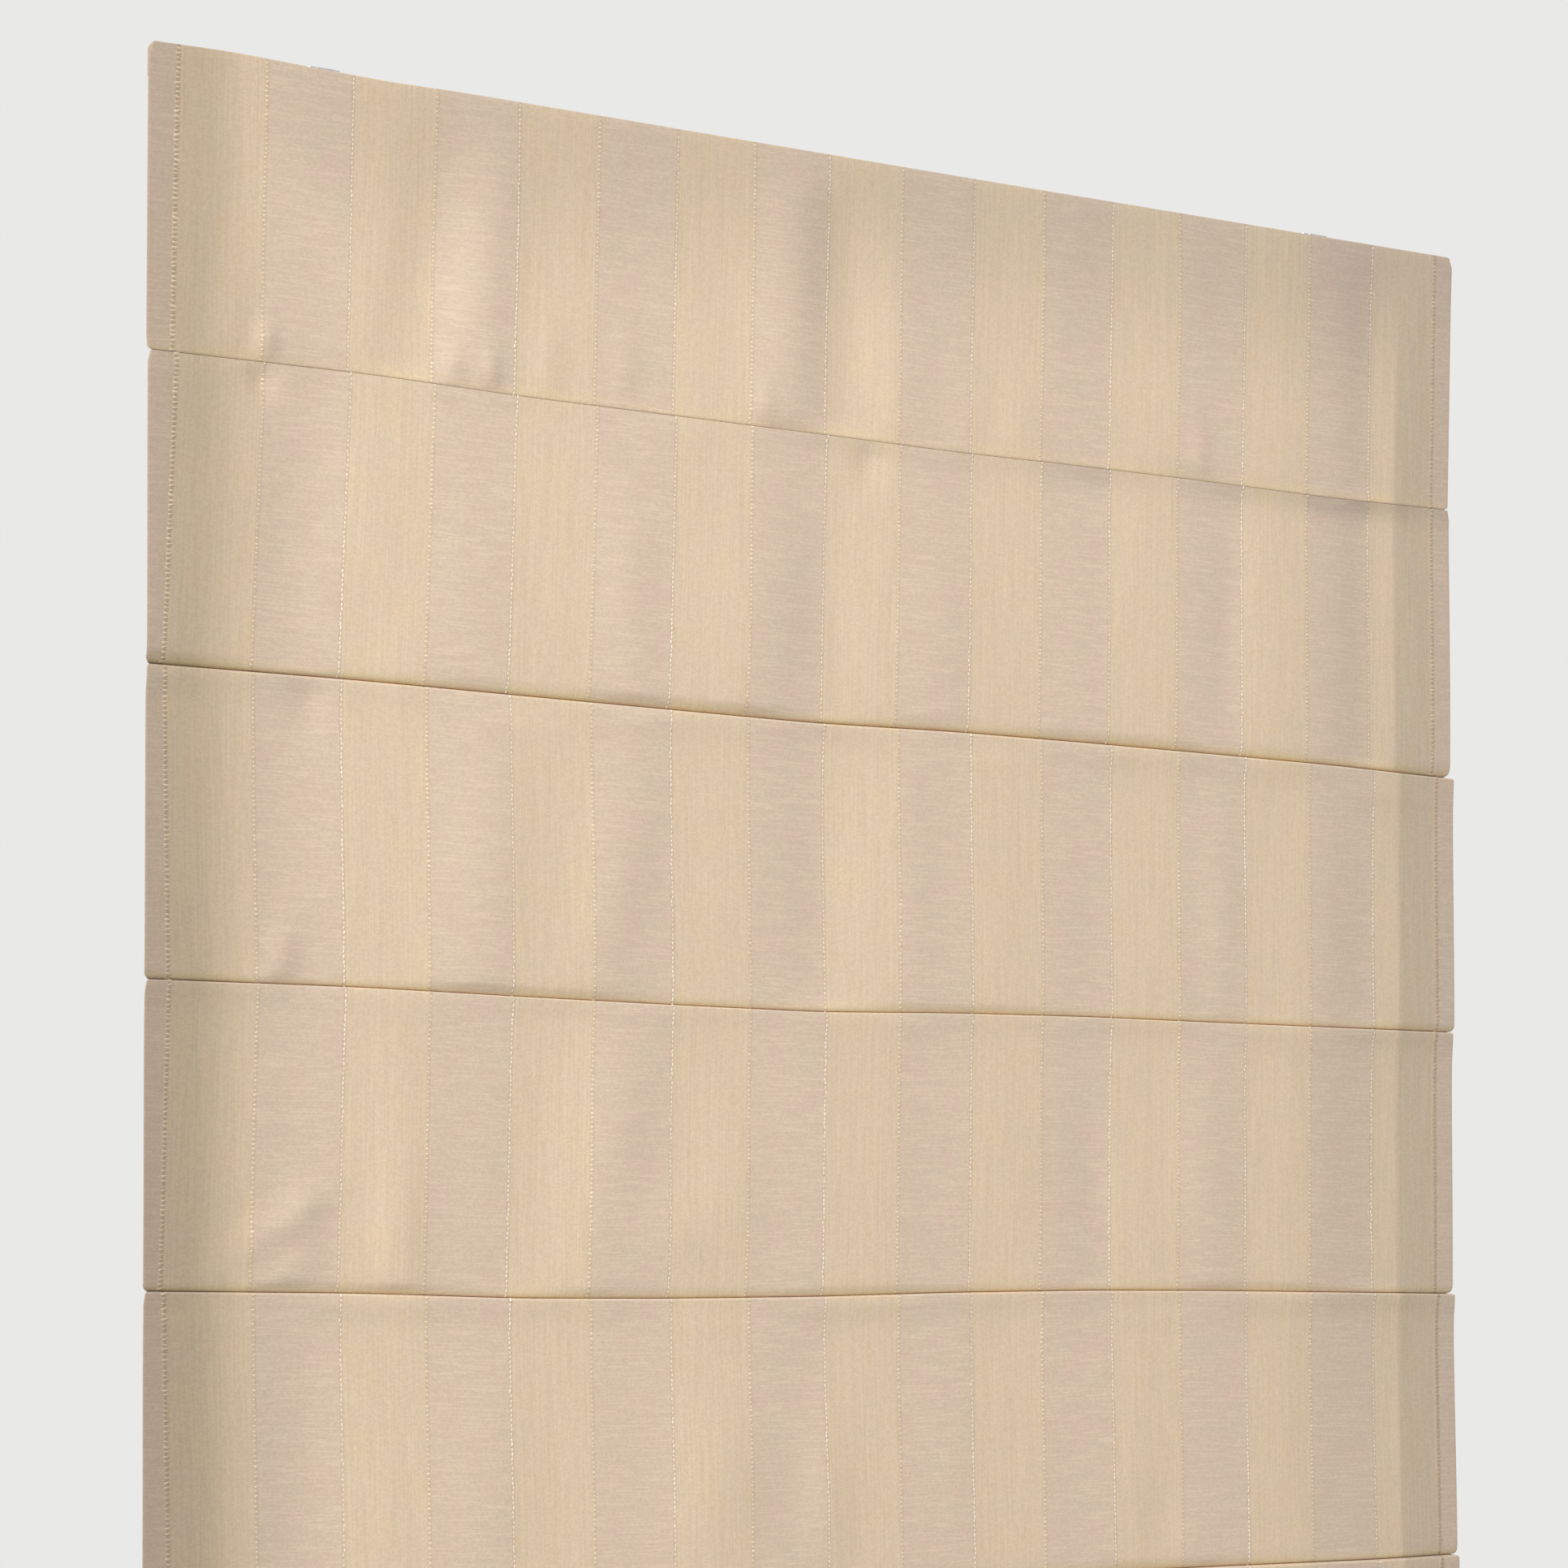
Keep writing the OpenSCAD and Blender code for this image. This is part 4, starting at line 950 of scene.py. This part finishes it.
def weave(tree, place, across, down, is_plain):
    """The colour of both weaves, and the height of their ridges."""
    long_threads = thread_tones(tree, down, across, *satin_thread)
    cross_threads = thread_tones(tree, across, down, *plain_thread)
    streaks = stretched_noise(tree, place, streak_size)
    slubs = stretched_noise(tree, place, slub_size)
    grain = step_up(tree, thread_tones(tree, across, down, *grain_thread), 0, 1, *grain_tones)
    patches = step_up(tree, stretched_noise(tree, place, patch_size), *noise_range)
    satin_tone = math_node(tree, "ADD", step_up(tree, long_threads, 0, 1, *satin_tones),
                           step_up(tree, streaks, *noise_range, *streak_tones))
    plain_tone = step_up(tree, cross_threads, 0.5, 1.0, *plain_tones)
    satin_colour = toned(tree, mix(tree, patches, *satin), math_node(tree, "ADD", satin_tone, grain))
    plain_colour = toned(tree, mix(tree, patches, *plain), math_node(tree, "ADD", plain_tone, grain))
    ridges = add(tree, "Mix", {0: is_plain, 2: streaks, 3: slubs}, data_type="FLOAT")
    return mix(tree, is_plain, satin_colour, plain_colour), ridges


print("weaves of", satin_thread[0] / mm, "and", plain_thread[0] / mm, "mm threads")

# %% [markdown]
# The rolls over the seams are painted more golden, for the light that bounces in them, and the hollows
# under the first seam are painted greyer, for their shade, most on the dull plain stripes. The points
# carry both as attributes. Last come the gaps of the open-work lines: where the threads are drawn apart,
# the cloth gets a painted shade, most of all on the two outer lines.

# %% Striped cloth
# Painted bounce light: the gold that light takes on between the layers of a seam
fold_bounce_gold = (1.08, 1.06, 0.89, 1)
# Grey of the painted shade in the hollows, with less of it on the satin
hollow_grey = (0.87, 0.88, 0.9, 1)
hollow_on_satin = 0.35
# Painted shade in the holes between the open-work bars
gap_shade_brown = (0.5, 0.42, 0.33, 1)
gap_edge = 0.9 * mm, 2.3 * mm
gap_depths = 0.17, 0.42
outer_line = 0.575, 0.58
satin_roughness, plain_roughness = 0.55, 0.8
thread_depth = 0.1 * mm


def seam_light_tints(tree, colour, is_plain):
    """The colour with a painted gold of bounce light on its rolls and a painted grey shade in its hollows.
    """
    fold = add(tree, "Attribute", {}, output=2, attribute_name="fold")
    hollow_depth = add(tree, "Attribute", {}, output=2, attribute_name="hollow")
    hollow_shade_share = step_up(tree, is_plain, 0, 1, hollow_on_satin, 1.0)
    hollow_depth = math_node(tree, "MULTIPLY", hollow_depth, hollow_shade_share)
    return tinted(tree, hollow_depth, tinted(tree, fold, colour, fold_bounce_gold), hollow_grey)


def striped_finish():
    """The face cloth's finish."""
    material, tree, shader = new_finish("striped_cloth", sheen_weight=0.25, sheen_roughness=0.5)
    shader.inputs["Specular IOR Level"].default_value = 0.25
    place, across, down = cloth_place(tree)
    count = math_node(tree, "DIVIDE", math_node(tree, "SUBTRACT", across, first_line), stripe_w)
    is_plain = math_node(tree, "GREATER_THAN", math_node(tree, "FLOORED_MODULO", count, 2.0), 1.0)
    colour, ridges = weave(tree, place, across, down, is_plain)
    colour = seam_light_tints(tree, colour, is_plain)
    colour = mix(tree, 1.0, colour, painted_shade_tint(tree, across, down), "MULTIPLY")
    off_line = math_node(tree, "MULTIPLY", math_node(tree, "PINGPONG", count, 0.5), stripe_w)
    gap_shade = step_up(tree, off_line, *gap_edge, 1.0, 0.0)
    gap_depth = step_up(tree, math_node(tree, "ABSOLUTE", across), *outer_line, *gap_depths)
    colour = tinted(tree, math_node(tree, "MULTIPLY", gap_shade, gap_depth), colour, gap_shade_brown)
    feed(tree, shader.inputs["Base Color"], colour)
    feed(tree, shader.inputs["Roughness"], step_up(tree, is_plain, 0, 1, satin_roughness, plain_roughness))
    relief(tree, shader, ridges, thread_depth)
    return material


striped = striped_finish()
face_cloth.data.materials.append(striped)
print("striped cloth:", len(striped.node_tree.nodes), "nodes")

# %% [markdown]
# The bars of the open-work lines are the same yarns, drawn tight: a dull gold, a near white, and a beige
# on the two outer lines. The near white is a painted highlight. The beige holds the painted shade of the
# hems it lies on, and it is painted darker towards the foot. Each gets a plain yarn finish with soft
# changes of tone. The gold and the white lie in the cloth's painted shade, so they take its tint too.

# %% Yarn
# Painted shade on the outer bars grows from light_above down to dark_below
dark_below, light_above = 0.75 * foot_z, 0.2 * foot_z
twist_size = (0.4 * mm, 0.4 * mm, 0.4 * mm)


def yarn_finish(name, light, dark, grain, foot_shade=1.0, shaded=False):
    """Tight yarn with soft tones, with painted shade that may grow towards the foot or follow the cloth's
    painted shade.
    """
    material, tree, shader = new_finish(name, roughness=0.7, sheen_weight=0.2)
    place = add(tree, "TexCoord", {}, output=3)
    across = add(tree, "SeparateXYZ", {0: place})
    height = add(tree, "SeparateXYZ", {0: place}, output=2)
    tone = stretched_noise(tree, place, (grain, grain, grain))
    colour = mix(tree, step_up(tree, tone, *noise_range), dark, light)
    colour = toned(tree, colour, step_up(tree, height, dark_below, light_above, foot_shade, 1.0))
    if shaded:
        down = math_node(tree, "SUBTRACT", top_z, height)
        colour = mix(tree, 1.0, colour, painted_shade_tint(tree, across, down), "MULTIPLY")
    feed(tree, shader.inputs["Base Color"], colour)
    relief(tree, shader, stretched_noise(tree, place, twist_size), thread_depth)
    return material


gold_yarn = yarn_finish("gold_yarn", screen(248, 230, 196), screen(236, 214, 180), 9 * mm, shaded=True)
# Near white: the painted highlight of the raised bars
pale_highlight_yarn = yarn_finish("pale_highlight_yarn", screen(248, 238, 220), screen(238, 222, 196), 14 * mm, shaded=True)
outer_shaded_yarn = yarn_finish("outer_shaded_yarn", screen(218, 196, 167), screen(200, 177, 149), 9 * mm,
                         foot_shade=0.76)
outer_bars.data.materials.append(outer_shaded_yarn)
gold_bars.data.materials.append(gold_yarn)
pale_highlight_bars.data.materials.append(pale_highlight_yarn)
thread_white = yarn_finish("sewing_thread", screen(240, 236, 226), screen(224, 218, 205), 6 * mm)
stitches.data.materials.append(thread_white)
ring_ties.data.materials.append(thread_white)
print("yarns ready")

# %% [markdown]
# ## Lining cloth
# Blind lining is a dense off-white cotton sateen with a dull face. Its threads are too fine to
# count from a step away, so a fine grain in both directions and a faint unevenness of tone are
# enough.

# %% Lining cloth
lining_tones = screen(226, 221, 208), screen(240, 236, 226)
lining_patch = screen(222, 215, 198)
warp_size, weft_size = (0.6 * mm, 14 * mm, 1), (14 * mm, 0.6 * mm, 1)
lining_patch_size = (90 * mm, 90 * mm, 1)
lining_grain = 0.08 * mm


def lining_finish():
    """Dull off-white cotton."""
    material, tree, shader = new_finish("lining_cotton", roughness=0.85, sheen_weight=0.15)
    place = cloth_place(tree)[0]
    warp = stretched_noise(tree, place, warp_size)
    weft = stretched_noise(tree, place, weft_size)
    patches = stretched_noise(tree, place, lining_patch_size)
    threads = math_node(tree, "ADD", warp, weft)
    colour = mix(tree, step_up(tree, threads, 0.75, 1.25), *lining_tones)
    colour = mix(tree, step_up(tree, patches, 0.3, 0.75, 0.0, 0.25), colour, lining_patch)
    feed(tree, shader.inputs["Base Color"], colour)
    relief(tree, shader, threads, lining_grain, strength=0.6)
    return material


lining.data.materials.append(lining_finish())
print("lining finished")

# %% [markdown]
# ## Rigid pieces
# The rail is a powder-coated extrusion, the control and drums are moulded plastic, the brackets are
# zinc-plated steel and the battens are pultruded fibreglass rod. Each finish uses the piece's own
# place in metres, so its grain has the size of the real one: orange peel about 1 mm across, spangle
# about 5 mm, drawn lines along the shaft.

# %% Finishes of the rigid pieces
def grain_finish(name, light, dark, sizes, depth, **sockets):
    """A finish with two close tones and a relief, both from one stretched grain."""
    material, tree, shader = new_finish(name, **sockets)
    place = add(tree, "TexCoord", {}, output=3)
    grain = stretched_noise(tree, place, sizes)
    feed(tree, shader.inputs["Base Color"], mix(tree, step_up(tree, grain, *noise_range), dark, light))
    relief(tree, shader, grain, depth)
    return material


finishes = {
    "rail_paint": grain_finish("powder_coat", screen(240, 240, 237), screen(233, 233, 229),
                               (1.1 * mm, 1.1 * mm, 1.1 * mm), 0.05 * mm, roughness=0.42),
    "white_plastic": grain_finish("moulded_white", screen(238, 238, 233), screen(230, 230, 224),
                                  (0.7 * mm, 0.7 * mm, 0.7 * mm), 0.03 * mm, roughness=0.38),
    "clear_plastic": grain_finish("milky_plastic", screen(236, 238, 236), screen(226, 229, 227),
                                  (2 * mm, 2 * mm, 2 * mm), 0.02 * mm, roughness=0.2,
                                  transmission_weight=0.35),
    "zinc_steel": grain_finish("zinc_plate", screen(205, 208, 212), screen(178, 182, 188),
                               (5 * mm, 5 * mm, 5 * mm), 0.03 * mm, roughness=0.34, metallic=1.0),
    "shaft_aluminium": grain_finish("drawn_aluminium", screen(214, 216, 219), screen(190, 193, 197),
                                    (60 * mm, 0.4 * mm, 0.4 * mm), 0.03 * mm, roughness=0.36,
                                    metallic=1.0),
    "bar_aluminium": grain_finish("mill_aluminium", screen(216, 217, 219), screen(196, 198, 201),
                                  (90 * mm, 0.7 * mm, 0.7 * mm), 0.03 * mm, roughness=0.42, metallic=1.0),
    "fibreglass": grain_finish("fibreglass_rod", screen(236, 231, 214), screen(224, 217, 196),
                               (120 * mm, 0.35 * mm, 0.35 * mm), 0.03 * mm, roughness=0.32,
                               coat_weight=0.3),
    "touch_tape": grain_finish("pile_tape", screen(240, 240, 238), screen(206, 206, 203),
                               (0.8 * mm, 0.8 * mm, 0.8 * mm), 0.35 * mm, roughness=0.9, sheen_weight=0.3),
}
for subpart in frame["record"]["subparts"]:
    piece = frame["nodes"][subpart["node"]]
    finish = finishes.get(subpart["material_slot"])
    if finish:
        piece.data.materials.clear()
        piece.data.materials.append(finish)
print(len(finishes), "finishes on", len(frame["nodes"]), "nodes")

# %% [markdown]
# ## Room
# The blind hangs a little above a pale floor, in front of nothing, so its outline stays clear from
# every side. One big soft lamp stands far off to the left and above, so that it grazes the cloth
# and shows its folds, a weak one behind keeps the lining readable, and the sky gives the rest. The
# camera sees the sky as a pale grey by way of its light path, without more light on the cloth. In
# the same way the floor is darker to the rays that bounce off it, so it looks pale but throws
# little light up at the blind.

# %% Floor
floor_gap = 0.12
floor_half = 2.4
floor_greys = screen(232, 232, 229), screen(236, 236, 233)
floor_bounce = screen(150, 150, 148)
floor_mesh = bpy.data.meshes.new("floor")
signs = [(-1, -1), (1, -1), (1, 1), (-1, 1)]
corners = [(x * floor_half, y * floor_half, foot_z - floor_gap) for x, y in signs]
floor_mesh.from_pydata(corners, [], [(0, 1, 2, 3)])
floor = bpy.data.objects.new("floor", floor_mesh)
bpy.context.scene.collection.objects.link(floor)
floor_paint, floor_tree, floor_shader = new_finish("floor_paint", roughness=0.9)
floor_place = add(floor_tree, "TexCoord", {}, output=3)
floor_grain = stretched_noise(floor_tree, floor_place, (0.3, 0.3, 0.3))
floor_tone = mix(floor_tree, floor_grain, *floor_greys)
floor_rays = floor_tree.nodes.new("ShaderNodeLightPath").outputs
floor_tone = mix(floor_tree, floor_rays["Is Diffuse Ray"], floor_tone, floor_bounce)
feed(floor_tree, floor_shader.inputs["Base Color"], floor_tone)
floor_mesh.materials.append(floor_paint)
print("floor at", round(foot_z - floor_gap, 3))

# %% Sky
sky_light = 0.395
sky_grey = screen(233, 233, 231)
world = bpy.data.worlds.new("sky")
bpy.context.scene.world = world
world.use_nodes = True
sky = world.node_tree
rays = sky.nodes.new("ShaderNodeLightPath").outputs
seen = math_node(sky, "MAXIMUM", rays["Is Camera Ray"], rays["Is Glossy Ray"])
seen = math_node(sky, "MAXIMUM", seen, rays["Is Transmission Ray"])
lighting = add(sky, "Background", {"Color": (1, 1, 1, 1), "Strength": sky_light})
backdrop = add(sky, "Background", {"Color": sky_grey, "Strength": 1.0})
shown_sky = add(sky, "MixShader", {0: seen, 1: lighting, 2: backdrop})
feed(sky, sky.nodes["World Output"].inputs["Surface"], shown_sky)
print("sky light", sky_light)

# %% Lamps
def soft_lamp(name, place, target, size, power):
    """A square soft lamp that faces a target."""
    data = bpy.data.lights.new(name, "AREA")
    data.size = size
    data.energy = power
    lamp = bpy.data.objects.new(name, data)
    lamp.location = place
    way = np.array(target) - np.array(place)
    tip = math.acos(-way[2] / np.linalg.norm(way))
    lamp.rotation_euler = (tip, 0, math.atan2(way[1], way[0]) - math.pi / 2)
    bpy.context.scene.collection.objects.link(lamp)
    return lamp


middle = (0, 0, (top_z + foot_z) / 2)
key_place = (-8.4, -6.6, 4.7)
back_place = (2.6, 3.4, 1.0)
key_lamp = soft_lamp("key_lamp", key_place, middle, size=3.0, power=1390)
back_lamp = soft_lamp("back_lamp", back_place, middle, size=1.6, power=60)
bpy.context.scene.view_settings.view_transform = "Standard"
print("lamps", key_lamp.name, back_lamp.name)
